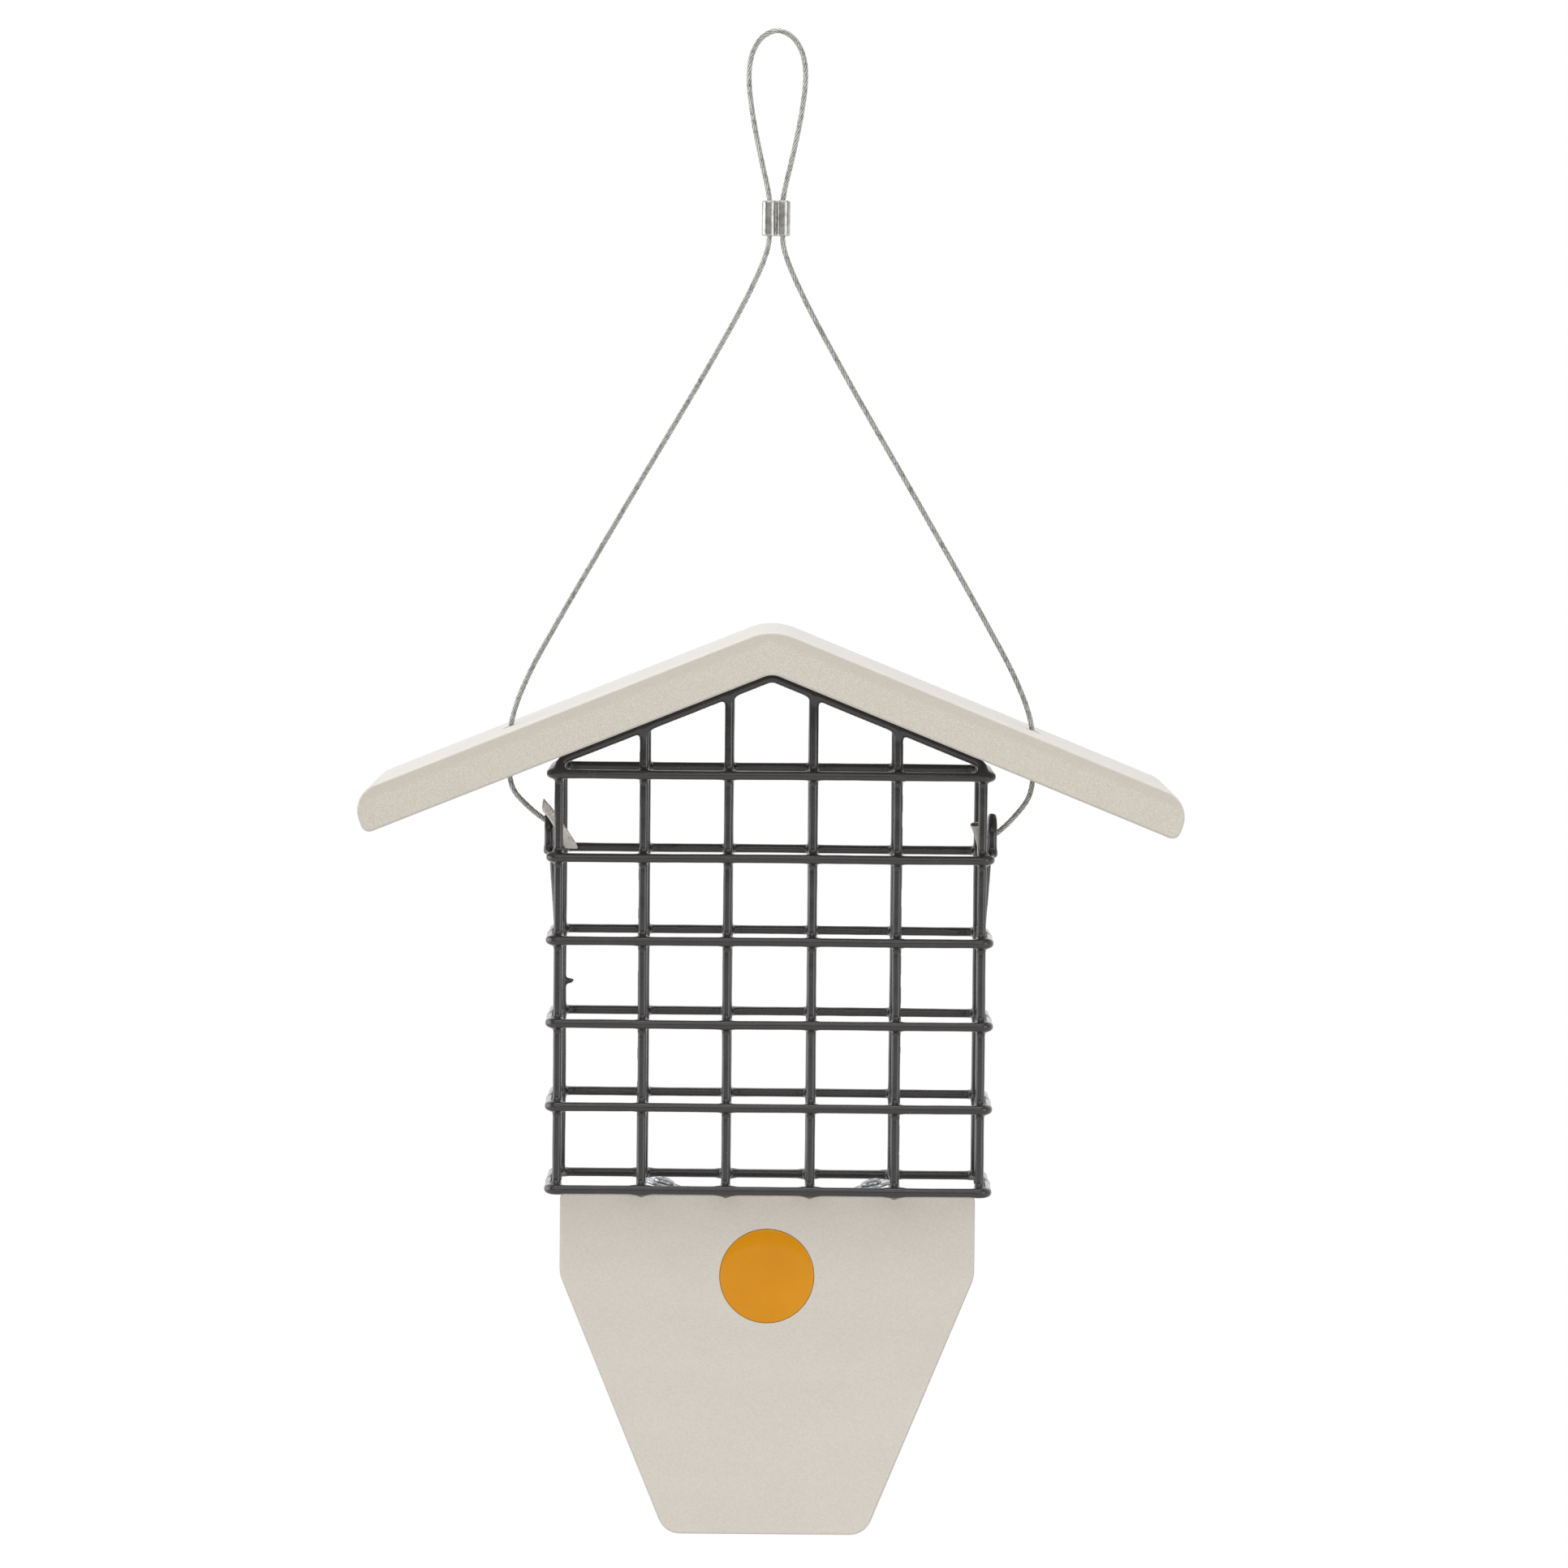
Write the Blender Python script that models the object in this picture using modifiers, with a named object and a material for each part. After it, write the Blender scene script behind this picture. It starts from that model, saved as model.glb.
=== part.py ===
"""A hanging suet feeder with a tail prop.

A dipped wire cage holds one cake of suet. A bent board roof rests on the cage's
gables and slides up the steel cable, which carries the cage by two eyes and ends in
a loop above a crimped sleeve. A tapered board hangs below the cage, for the tail of
a bird that clings there.

Metres, +Z up, the front towards -Y. The origin is the inside top of the cable's loop.
"""

import math

import bmesh
import bpy
from mathutils import Matrix, Vector

# Fits and steps
GAP = 0.0003
OVERRUN = 0.002
ARC_STEP = math.radians(18)
TURNED_STEPS = 32
TUBE_RESOLUTION = 2

# Cage: coated wires, each crossing welded, with the rings outside the uprights
WIRE_DIAMETER = 0.0028
COLUMN_PITCH = 0.0254
COLUMN_COUNT = 6
RING_PITCH = 0.025
RING_COUNT = 6
CAGE_DEPTH = 0.044
CAGE_DROP = 0.2225
RUN_DROP = 0.0015
RUN_CORNER_RADIUS = 0.003

# Gables
ROOF_SLOPE = math.radians(22)
GABLE_CORNER_RISE = 0.0038
GABLE_CORNER_RADIUS = 0.004
GABLE_APEX_RADIUS = 0.0043

# Cable eyes, arches that stand on the second ring, and the stays below them
EYE_RING = 1
EYE_WIDTH = 0.007
EYE_HEIGHT = 0.013
STAY_LEAN_SHARE = 0.9

# Roof board
ROOF_THICKNESS = 0.0127
ROOF_DEPTH = 0.089
WING_LENGTH = 0.130
WING_TOP_RADIUS = 0.0085
WING_BOTTOM_RADIUS = 0.0025
HOLE_X = 0.0793
HOLE_DIAMETER = 0.0045

# Tail prop
PROP_THICKNESS = 0.0127
PROP_WIDTH = 0.1257
PROP_HEIGHT = 0.1035
PROP_BOTTOM_WIDTH = 0.0608
PROP_SHOULDER_DROP = 0.0246
PROP_TOP_RADIUS = 0.0015
PROP_SHOULDER_RADIUS = 0.010
PROP_BOTTOM_RADIUS = 0.007

# Badge, a bare domed disc in a pocket of the prop
BADGE_DIAMETER = 0.0285
BADGE_THICKNESS = 0.002
BADGE_DOME = 0.0006
BADGE_DROP = 0.0246

# Screws and washers that hang the prop on the bottom runs
SCREW_X = 0.0315
SHANK_DIAMETER = 0.0036
SHANK_LENGTH = 0.025
HEAD_DIAMETER = 0.0064
HEAD_HEIGHT = 0.0024
WASHER_DIAMETER = 0.0125
WASHER_BORE = 0.005
WASHER_THICKNESS = 0.001

# Cable and sleeve
CABLE_DIAMETER = 0.0016
CABLE_SPREAD = 0.002
LOOP_DROP = 0.0503
LOOP_HALF_WIDTH = 0.0085
SLEEVE_LENGTH = 0.0106
BARREL_DIAMETER = 0.0046
SLEEVE_WAIST = 0.0034
LOOP_STEP = 0.0056
LEG_STEP = 0.0096
TAIL_STEP = 0.0028
LEFT_EYE_PASS_RISE = 0.009
RIGHT_EYE_PASS_RISE = 0.0058

# Toggles, flattened tubes crimped on the cable's ends
TOGGLE_LENGTH = 0.0185
TOGGLE_WIDTH = 0.0033
TOGGLE_THICKNESS = 0.0016
TOGGLE_EDGE = 0.0006
LEFT_TOGGLE_INSET = 0.0027
LEFT_TOGGLE_RISE = 0.0085
LEFT_TOGGLE_CLEARANCE = 0.0011
LEFT_TOGGLE_LEAN = math.radians(30)
RIGHT_TOGGLE_INSET = 0.0038
RIGHT_TOGGLE_RISE = 0.0054
RIGHT_TOGGLE_TILT = math.radians(30)
RIGHT_TOGGLE_SKEW = math.radians(3.5)

# The cable's route, seen from the front, as shares of the runs that it follows: out
# and down from the sleeve to the roof's hole, and up from the eye to that hole.
# The loop's are shares of its half width and its height.
LOOP_SHARES = [(0.24, 0.0), (0.30, 0.06), (0.49, 0.2), (0.75, 0.4), (0.93, 0.58), (1.0, 0.71),
               (0.965, 0.81), (0.81, 0.895), (0.5, 0.965), (0.0, 1.0)]
LEG_SHARES = [(0.0, 0.0), (0.005, 0.02), (0.02, 0.045), (0.045, 0.075), (0.105, 0.137),
              (0.264, 0.28), (0.5435, 0.518), (0.818, 0.755), (0.921, 0.85), (0.974, 0.914),
              (0.994, 0.955), (1.0, 1.0)]
TAIL_SHARES = [(0.89, 0.64), (0.55, 0.32), (0.19, 0.08)]
LEFT_TURN_SHARES = [(-0.05, 0.07), (0.74, 0.37), (1.0, 0.72)]

WIRE_RADIUS = WIRE_DIAMETER / 2
CABLE_RADIUS = CABLE_DIAMETER / 2
SIDE_X = COLUMN_PITCH * (COLUMN_COUNT - 1) / 2
UPRIGHT_Y = CAGE_DEPTH / 2
RING_OFFSET = WIRE_DIAMETER + GAP
RING_X = SIDE_X + RING_OFFSET
RING_Y = UPRIGHT_Y + RING_OFFSET
BOTTOM_RING_Z = -CAGE_DROP - RING_PITCH * (RING_COUNT - 1)
EYE_RING_Z = -CAGE_DROP - RING_PITCH * EYE_RING
RUN_Z = BOTTOM_RING_Z - RUN_DROP
PROP_TOP_Z = RUN_Z - WIRE_RADIUS - GAP
CORNER_Z = -CAGE_DROP + GABLE_CORNER_RISE
APEX_Z = CORNER_Z + SIDE_X * math.tan(ROOF_SLOPE)
ROOF_APEX_Z = APEX_Z + (WIRE_RADIUS + GAP) / math.cos(ROOF_SLOPE)
HOLE_BOTTOM_Z = ROOF_APEX_Z - HOLE_X * math.tan(ROOF_SLOPE)
HOLE_TOP_Z = HOLE_BOTTOM_Z + ROOF_THICKNESS / math.cos(ROOF_SLOPE)
HOLE_MIDDLE_Z = (HOLE_BOTTOM_Z + HOLE_TOP_Z) / 2
SLEEVE_BOTTOM_Z = -LOOP_DROP - SLEEVE_LENGTH
EYE_LEG_Y = (EYE_WIDTH + WIRE_DIAMETER) / 2
LEFT_TOGGLE_Y = -EYE_LEG_Y - WIRE_RADIUS - LEFT_TOGGLE_CLEARANCE - TOGGLE_THICKNESS / 2


# The scene

def empty_scene():
    for thing in list(bpy.data.objects):
        bpy.data.objects.remove(thing)


def new_collection(name):
    collection = bpy.data.collections.new(name)
    bpy.context.scene.collection.children.link(collection)
    return collection


def new_material(name, colour, roughness, metallic):
    material = bpy.data.materials.new(name)
    material.use_nodes = True
    shader = material.node_tree.nodes["Principled BSDF"]
    shader.inputs["Base Color"].default_value = (*colour, 1)
    shader.inputs["Roughness"].default_value = roughness
    shader.inputs["Metallic"].default_value = metallic
    material.diffuse_color = (*colour, 1)
    return material


def dress(thing, name, look):
    thing.name = name
    thing.data.name = name
    thing.data.materials.append(new_material(name, *look))
    return thing


COATED_WIRE = ((0.02, 0.02, 0.022), 0.18, 0.0)
PALE_BOARD = ((0.62, 0.58, 0.52), 0.6, 0.0)
ORANGE_DISC = ((0.70, 0.30, 0.01), 0.25, 0.0)
ZINC = ((0.62, 0.62, 0.60), 0.35, 1.0)
CABLE_STEEL = ((0.42, 0.42, 0.40), 0.4, 1.0)
SLEEVE_METAL = ((0.60, 0.59, 0.57), 0.35, 1.0)
TOGGLE_STEEL = ((0.56, 0.54, 0.50), 0.4, 1.0)


# Paths

def rounded_path(corners, closed=False):
    """Points along straight runs between corners, each (place, radius), with arcs at them."""
    points = []
    for i, (place, radius) in enumerate(corners):
        place = Vector(place)
        end = not closed and i in (0, len(corners) - 1)
        if end or not radius:
            points.append(place)
            continue
        arrive = (place - Vector(corners[i - 1][0])).normalized()
        leave = (Vector(corners[(i + 1) % len(corners)][0]) - place).normalized()
        turn = arrive.angle(leave)
        inward = (leave - arrive * leave.dot(arrive)).normalized()
        start = place - arrive * radius * math.tan(turn / 2)
        centre = start + inward * radius
        steps = max(2, math.ceil(turn / ARC_STEP))
        for k in range(steps + 1):
            angle = turn * k / steps
            points.append(centre - inward * radius * math.cos(angle)
                          + arrive * radius * math.sin(angle))
    return points


def smooth_path(route, step):
    """Evenly spaced points on a smooth curve through the route's points."""
    route = [Vector(p) for p in route]
    ends = [route[0] * 2 - route[1], *route, route[-1] * 2 - route[-2]]
    fine = []
    for before, start, end, after in zip(ends, ends[1:], ends[2:], ends[3:]):
        tight = [math.sqrt((b - a).length) for a, b in
                 ((before, start), (start, end), (end, after))]
        leave = tangent(before, start, end, tight[0], tight[1])
        arrive = tangent(start, end, after, tight[1], tight[2])
        for k in range(16):
            t = k / 16
            fine.append(hermite(start, end, leave, arrive, t))
    fine.append(route[-1])
    return evenly(fine, step)


def tangent(before, here, after, gone, ahead):
    """A centripetal curve's direction at a point, from the roots of its chords."""
    return (here - before) / gone - (after - before) / (gone + ahead) + (after - here) / ahead


def hermite(start, end, leave, arrive, t):
    root = math.sqrt((end - start).length)
    return (start * (2 * t ** 3 - 3 * t ** 2 + 1) + leave * root * (t ** 3 - 2 * t ** 2 + t)
            + end * (3 * t ** 2 - 2 * t ** 3) + arrive * root * (t ** 3 - t ** 2))


def evenly(points, step):
    lengths = [0.0]
    for a, b in zip(points, points[1:]):
        lengths.append(lengths[-1] + (b - a).length)
    count = max(2, round(lengths[-1] / step))
    found, i = [], 0
    for k in range(count + 1):
        goal = lengths[-1] * k / count
        while i < len(points) - 2 and lengths[i + 1] < goal:
            i += 1
        share = (goal - lengths[i]) / (lengths[i + 1] - lengths[i])
        found.append(points[i].lerp(points[i + 1], share))
    return found


def mirrored(points):
    return [Vector((-p.x, p.y, p.z)) for p in points]


# Solids

def tube(collection, name, points, diameter, look, closed=False):
    """A round wire or cable along the points, with its origin at the first of them."""
    data = bpy.data.curves.new(name, "CURVE")
    data.dimensions = "3D"
    data.bevel_depth = diameter / 2
    data.bevel_resolution = TUBE_RESOLUTION
    data.use_fill_caps = not closed
    spline = data.splines.new("POLY")
    spline.points.add(len(points) - 1)
    for slot, place in zip(spline.points, points):
        slot.co = (*(place - points[0]), 1)
    spline.use_cyclic_u = closed
    thing = bpy.data.objects.new(name, data)
    thing.location = points[0]
    collection.objects.link(thing)
    return dress(thing, name, look)


def board(collection, name, outline, thickness, look):
    """A flat board upright across Y, from an outline of (x, z) corners with radii."""
    data = bpy.data.curves.new(name, "CURVE")
    data.dimensions = "2D"
    data.fill_mode = "BOTH"
    data.extrude = thickness / 2
    points = rounded_path([((x, z, 0), radius) for x, z, radius in outline], closed=True)
    spline = data.splines.new("POLY")
    spline.points.add(len(points) - 1)
    for slot, place in zip(spline.points, points):
        slot.co = (*place, 1)
    spline.use_cyclic_u = True
    flat = bpy.data.objects.new(name, data)
    flat.rotation_euler = (math.pi / 2, 0, 0)
    collection.objects.link(flat)
    return dress(as_mesh(flat, collection), name, look)


def as_mesh(curve, collection):
    """The curve's solid as a mesh object in its place, with its caps welded."""
    bpy.context.view_layer.update()
    ready = curve.evaluated_get(bpy.context.evaluated_depsgraph_get())
    mesh = bpy.data.meshes.new_from_object(ready)
    shape = bmesh.new()
    shape.from_mesh(mesh)
    bmesh.ops.remove_doubles(shape, verts=shape.verts, dist=GAP / 100)
    shape.to_mesh(mesh)
    shape.free()
    solid = bpy.data.objects.new(curve.name, mesh)
    solid.matrix_world = curve.matrix_world
    collection.objects.link(solid)
    bpy.data.objects.remove(curve)
    return solid


def cylinder(collection, name, diameter, length, centre):
    """An upright cylinder about Z."""
    shape = bmesh.new()
    bmesh.ops.create_cone(shape, cap_ends=True, segments=TURNED_STEPS, radius1=diameter / 2,
                          radius2=diameter / 2, depth=length)
    return from_bmesh(collection, name, shape, centre)


def block(collection, name, size, centre):
    shape = bmesh.new()
    bmesh.ops.create_cube(shape, size=1, matrix=Matrix.Diagonal((*size, 1)))
    return from_bmesh(collection, name, shape, centre)


def from_bmesh(collection, name, shape, centre):
    mesh = bpy.data.meshes.new(name)
    shape.to_mesh(mesh)
    shape.free()
    thing = bpy.data.objects.new(name, mesh)
    thing.location = centre
    collection.objects.link(thing)
    return thing


def turned(collection, name, profile, look):
    """A turned piece about Z, from (radius, z) points that run down its outer side."""
    mesh = bpy.data.meshes.new(name)
    edges = [(i, i + 1) for i in range(len(profile) - 1)]
    mesh.from_pydata([(r, 0, z) for r, z in profile], edges, [])
    thing = bpy.data.objects.new(name, mesh)
    collection.objects.link(thing)
    turn = thing.modifiers.new("Turn", "SCREW")
    turn.steps = TURNED_STEPS
    turn.render_steps = TURNED_STEPS
    turn.use_merge_vertices = True
    turn.merge_threshold = GAP / 100
    return dress(thing, name, look)


def combine(thing, tool, how):
    tool.hide_render = True
    tool.display_type = "WIRE"
    step = thing.modifiers.new(how.title(), "BOOLEAN")
    step.operation = how
    step.object = tool


# Cage

def make_rings(feeder):
    for i in range(RING_COUNT):
        z = -CAGE_DROP - RING_PITCH * i
        corners = [((x * RING_X, y * RING_Y, z), RING_OFFSET)
                   for x, y in ((-1, -1), (1, -1), (1, 1), (-1, 1))]
        path = rounded_path(corners, closed=True)
        tube(feeder, f"ring_wire_{i + 1}", path, WIRE_DIAMETER, COATED_WIRE, closed=True)


def make_gable_frames(feeder):
    """A house-shaped wire at the front and one at the back."""
    foot_z = BOTTOM_RING_Z - WIRE_RADIUS
    for name, y in (("front_gable_frame", -UPRIGHT_Y), ("back_gable_frame", UPRIGHT_Y)):
        path = rounded_path([
            ((-SIDE_X, y, foot_z), 0),
            ((-SIDE_X, y, CORNER_Z), GABLE_CORNER_RADIUS),
            ((0, y, APEX_Z), GABLE_APEX_RADIUS),
            ((SIDE_X, y, CORNER_Z), GABLE_CORNER_RADIUS),
            ((SIDE_X, y, foot_z), 0),
        ])
        tube(feeder, name, path, WIRE_DIAMETER, COATED_WIRE)


def make_upright_wires(feeder):
    """The inner wires: down from one gable, across under the cage and up to the other."""
    for i in range(1, COLUMN_COUNT - 1):
        x = COLUMN_PITCH * i - SIDE_X
        gable_z = APEX_Z - (abs(x) + WIRE_RADIUS) * math.tan(ROOF_SLOPE)
        top_z = gable_z - WIRE_RADIUS / math.cos(ROOF_SLOPE) - GAP
        path = rounded_path([
            ((x, -UPRIGHT_Y, top_z), 0),
            ((x, -UPRIGHT_Y, RUN_Z), RUN_CORNER_RADIUS),
            ((x, UPRIGHT_Y, RUN_Z), RUN_CORNER_RADIUS),
            ((x, UPRIGHT_Y, top_z), 0),
        ])
        tube(feeder, f"upright_wire_{i}", path, WIRE_DIAMETER, COATED_WIRE)


def make_eyes_and_stays(feeder):
    """An arch for the cable on each side, and the wire that ties the side rings below it."""
    foot_z = EYE_RING_Z + WIRE_RADIUS + GAP
    crown_z = EYE_RING_Z + EYE_HEIGHT - WIRE_RADIUS
    lean_z = EYE_RING_Z - RING_PITCH * STAY_LEAN_SHARE
    for name, side in (("left", -1), ("right", 1)):
        path = rounded_path([
            ((side * RING_X, -EYE_LEG_Y, foot_z), 0),
            ((side * RING_X, -EYE_LEG_Y, crown_z), EYE_LEG_Y),
            ((side * RING_X, EYE_LEG_Y, crown_z), EYE_LEG_Y),
            ((side * RING_X, EYE_LEG_Y, foot_z), 0),
        ])
        tube(feeder, f"{name}_cable_eye", path, WIRE_DIAMETER, COATED_WIRE)
        path = rounded_path([
            ((side * RING_X, 0, EYE_RING_Z - WIRE_RADIUS - GAP), 0),
            ((side * SIDE_X, 0, lean_z), RING_PITCH / 2),
            ((side * SIDE_X, 0, BOTTOM_RING_Z - WIRE_RADIUS), 0),
        ])
        tube(feeder, f"{name}_side_stay", path, WIRE_DIAMETER, COATED_WIRE)


# Roof

def make_roof(feeder, cutters):
    """One board bent at the ridge, its underside parallel to the gables' wires."""
    along = Vector((math.cos(ROOF_SLOPE), -math.sin(ROOF_SLOPE)))
    across = Vector((math.sin(ROOF_SLOPE), math.cos(ROOF_SLOPE)))
    under = Vector((0, ROOF_APEX_Z))
    low = under + along * WING_LENGTH
    high = low + across * ROOF_THICKNESS
    inner_radius = GABLE_APEX_RADIUS + WIRE_RADIUS + GAP
    ridge_z = ROOF_APEX_Z + ROOF_THICKNESS / math.cos(ROOF_SLOPE)
    outline = [
        (under.x, under.y, inner_radius),
        (low.x, low.y, WING_BOTTOM_RADIUS),
        (high.x, high.y, WING_TOP_RADIUS),
        (0, ridge_z, inner_radius + ROOF_THICKNESS),
        (-high.x, high.y, WING_TOP_RADIUS),
        (-low.x, low.y, WING_BOTTOM_RADIUS),
    ]
    roof = board(feeder, "roof_board", outline, ROOF_DEPTH, PALE_BOARD)
    depth = HOLE_TOP_Z - HOLE_BOTTOM_Z + 2 * (HOLE_DIAMETER + OVERRUN)
    for name, side in (("left_hole", -1), ("right_hole", 1)):
        hole = cylinder(cutters, name, HOLE_DIAMETER, depth, (side * HOLE_X, 0, HOLE_MIDDLE_Z))
        combine(roof, hole, "DIFFERENCE")


# Tail prop with its badge, screws and washers

def washer_seat():
    """The tilt, centre and head height of a washer that leans on a bottom run."""
    radius = WASHER_DIAMETER / 2
    wire_x = min((abs(COLUMN_PITCH * i - SIDE_X) for i in range(COLUMN_COUNT)),
                 key=lambda x: abs(x - SCREW_X - radius))
    heel_z = PROP_TOP_Z + GAP
    tilt = 0.0
    for _ in range(4):
        heel_x = SCREW_X - radius * math.cos(tilt)
        reach = math.hypot(wire_x - heel_x, RUN_Z - heel_z)
        tilt = (math.asin((WIRE_RADIUS + GAP) / reach)
                + math.atan2(RUN_Z - heel_z, wire_x - heel_x))
    middle_z = heel_z + radius * math.sin(tilt) + WASHER_THICKNESS / 2 * math.cos(tilt)
    middle_x = SCREW_X - WASHER_THICKNESS / 2 * math.sin(tilt)
    head_z = (middle_z + WASHER_THICKNESS / 2 / math.cos(tilt)
              + (HEAD_DIAMETER / 2 + SCREW_X - middle_x) * math.tan(tilt) + GAP)
    return tilt, middle_x, middle_z, head_z


def make_prop(feeder, cutters):
    shoulder_z = PROP_TOP_Z - PROP_SHOULDER_DROP
    bottom_z = PROP_TOP_Z - PROP_HEIGHT
    right = [
        (PROP_BOTTOM_WIDTH / 2, bottom_z, PROP_BOTTOM_RADIUS),
        (PROP_WIDTH / 2, shoulder_z, PROP_SHOULDER_RADIUS),
        (PROP_WIDTH / 2, PROP_TOP_Z, PROP_TOP_RADIUS),
    ]
    left = [(-x, z, radius) for x, z, radius in reversed(right)]
    prop = board(feeder, "tail_prop", right + left, PROP_THICKNESS, PALE_BOARD)

    pocket_depth = BADGE_THICKNESS + GAP
    pocket = cylinder(cutters, "badge_pocket", BADGE_DIAMETER + 2 * GAP,
                      pocket_depth + OVERRUN,
                      (0, -(PROP_THICKNESS - pocket_depth + OVERRUN) / 2,
                       PROP_TOP_Z - BADGE_DROP))
    pocket.rotation_euler = (math.pi / 2, 0, 0)
    combine(prop, pocket, "DIFFERENCE")

    tip_z = washer_seat()[3] - SHANK_LENGTH
    length = PROP_TOP_Z - tip_z + GAP + OVERRUN
    for name, side in (("left_pilot_hole", -1), ("right_pilot_hole", 1)):
        hole = cylinder(cutters, name, SHANK_DIAMETER + 2 * GAP, length,
                        (side * SCREW_X, 0, tip_z - GAP + length / 2))
        combine(prop, hole, "DIFFERENCE")


def make_badge(feeder):
    """A disc with a low dome, turned about Z and then faced to the front."""
    radius = BADGE_DIAMETER / 2
    rise = [(radius * math.sin(math.pi / 2 * k / 6), BADGE_DOME * math.cos(math.pi / 2 * k / 6))
            for k in range(7)]
    profile = [*rise, (radius, -BADGE_THICKNESS), (0, -BADGE_THICKNESS)]
    badge = turned(feeder, "badge", profile, ORANGE_DISC)
    badge.rotation_euler = (math.pi / 2, 0, 0)
    badge.location = (0, -PROP_THICKNESS / 2, PROP_TOP_Z - BADGE_DROP)


def make_fixings(feeder):
    tilt, middle_x, middle_z, head_z = washer_seat()
    shank, head = SHANK_DIAMETER / 2, HEAD_DIAMETER / 2
    crown = [(head * math.sin(math.pi / 2 * k / 4), HEAD_HEIGHT / 3 * math.cos(math.pi / 2 * k / 4)
              + HEAD_HEIGHT * 2 / 3) for k in range(5)]
    screw = [*crown, (head, 0), (shank, 0), (shank, shank - SHANK_LENGTH), (0, -SHANK_LENGTH)]
    bore, rim, half = WASHER_BORE / 2, WASHER_DIAMETER / 2, WASHER_THICKNESS / 2
    ring = [(bore, half), (rim, half), (rim, -half), (bore, -half), (bore, half)]
    for name, side in (("left", -1), ("right", 1)):
        thing = turned(feeder, f"{name}_prop_screw", screw, ZINC)
        thing.location = (side * SCREW_X, 0, head_z)
        thing = turned(feeder, f"{name}_prop_washer", ring, ZINC)
        thing.location = (side * middle_x, 0, middle_z)
        thing.rotation_euler = (0, -side * tilt, 0)


# Cable, sleeve and toggles

def make_sleeve(feeder, cutters):
    """Two barrels crimped side by side, with a waist between them."""
    middle_z = -LOOP_DROP - SLEEVE_LENGTH / 2
    sleeve = cylinder(feeder, "cable_sleeve", BARREL_DIAMETER, SLEEVE_LENGTH,
                      (-CABLE_SPREAD, 0, middle_z))
    other = cylinder(cutters, "other_barrel", BARREL_DIAMETER, SLEEVE_LENGTH,
                     (CABLE_SPREAD, 0, middle_z))
    waist = block(cutters, "barrel_waist", (2 * CABLE_SPREAD, SLEEVE_WAIST, SLEEVE_LENGTH),
                  (0, 0, middle_z))
    combine(sleeve, other, "UNION")
    combine(sleeve, waist, "UNION")
    dress(sleeve, "cable_sleeve", SLEEVE_METAL)


def make_loop(feeder):
    low = -LOOP_DROP + GAP
    height = CABLE_RADIUS - low
    up = [Vector((-x * LOOP_HALF_WIDTH, 0, low + z * height)) for x, z in LOOP_SHARES]
    route = up + [Vector((-p.x, 0, p.z)) for p in reversed(up[:-1])]
    tube(feeder, "cable_loop", smooth_path(route, LOOP_STEP), CABLE_DIAMETER, CABLE_STEEL)


def leg_route():
    """The right leg, from under the sleeve to the middle of the roof's hole."""
    high = SLEEVE_BOTTOM_Z - GAP
    low = HOLE_MIDDLE_Z + GAP / 2
    return [Vector((CABLE_SPREAD + x * (HOLE_X - CABLE_SPREAD), 0, high + z * (low - high)))
            for x, z in LEG_SHARES]


def tail_route(pass_rise):
    """The outer part of a right tail, from the middle of the roof's hole to the eye."""
    high = HOLE_MIDDLE_Z - GAP / 2
    low = EYE_RING_Z + pass_rise
    return [Vector((HOLE_X, 0, high)), Vector((HOLE_X, 0, HOLE_BOTTOM_Z)),
            *(Vector((RING_X + x * (HOLE_X - RING_X), 0, low + z * (HOLE_BOTTOM_Z - low)))
              for x, z in TAIL_SHARES),
            Vector((RING_X, 0, low))]


def make_cable(feeder):
    leg = smooth_path(leg_route(), LEG_STEP)
    tube(feeder, "right_cable_leg", leg, CABLE_DIAMETER, CABLE_STEEL)
    tube(feeder, "left_cable_leg", mirrored(leg), CABLE_DIAMETER, CABLE_STEEL)

    end_x = RING_X - RIGHT_TOGGLE_INSET + TOGGLE_WIDTH / 2 + GAP
    end = Vector((end_x, 0, EYE_RING_Z + RIGHT_TOGGLE_RISE))
    right = smooth_path([*tail_route(RIGHT_EYE_PASS_RISE), end], TAIL_STEP)
    tube(feeder, "right_cable_tail", right, CABLE_DIAMETER, CABLE_STEEL)

    end_y = LEFT_TOGGLE_Y + TOGGLE_THICKNESS / 2 + GAP
    rise = LEFT_TOGGLE_RISE - LEFT_EYE_PASS_RISE
    turn = [Vector((RING_X - x * LEFT_TOGGLE_INSET, y * end_y,
                    EYE_RING_Z + LEFT_EYE_PASS_RISE + y * rise))
            for x, y in (*LEFT_TURN_SHARES, (1.0, 1.0))]
    left = smooth_path(mirrored([*tail_route(LEFT_EYE_PASS_RISE)[:-1], *turn]), TAIL_STEP)
    tube(feeder, "left_cable_tail", left, CABLE_DIAMETER, CABLE_STEEL)


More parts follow.
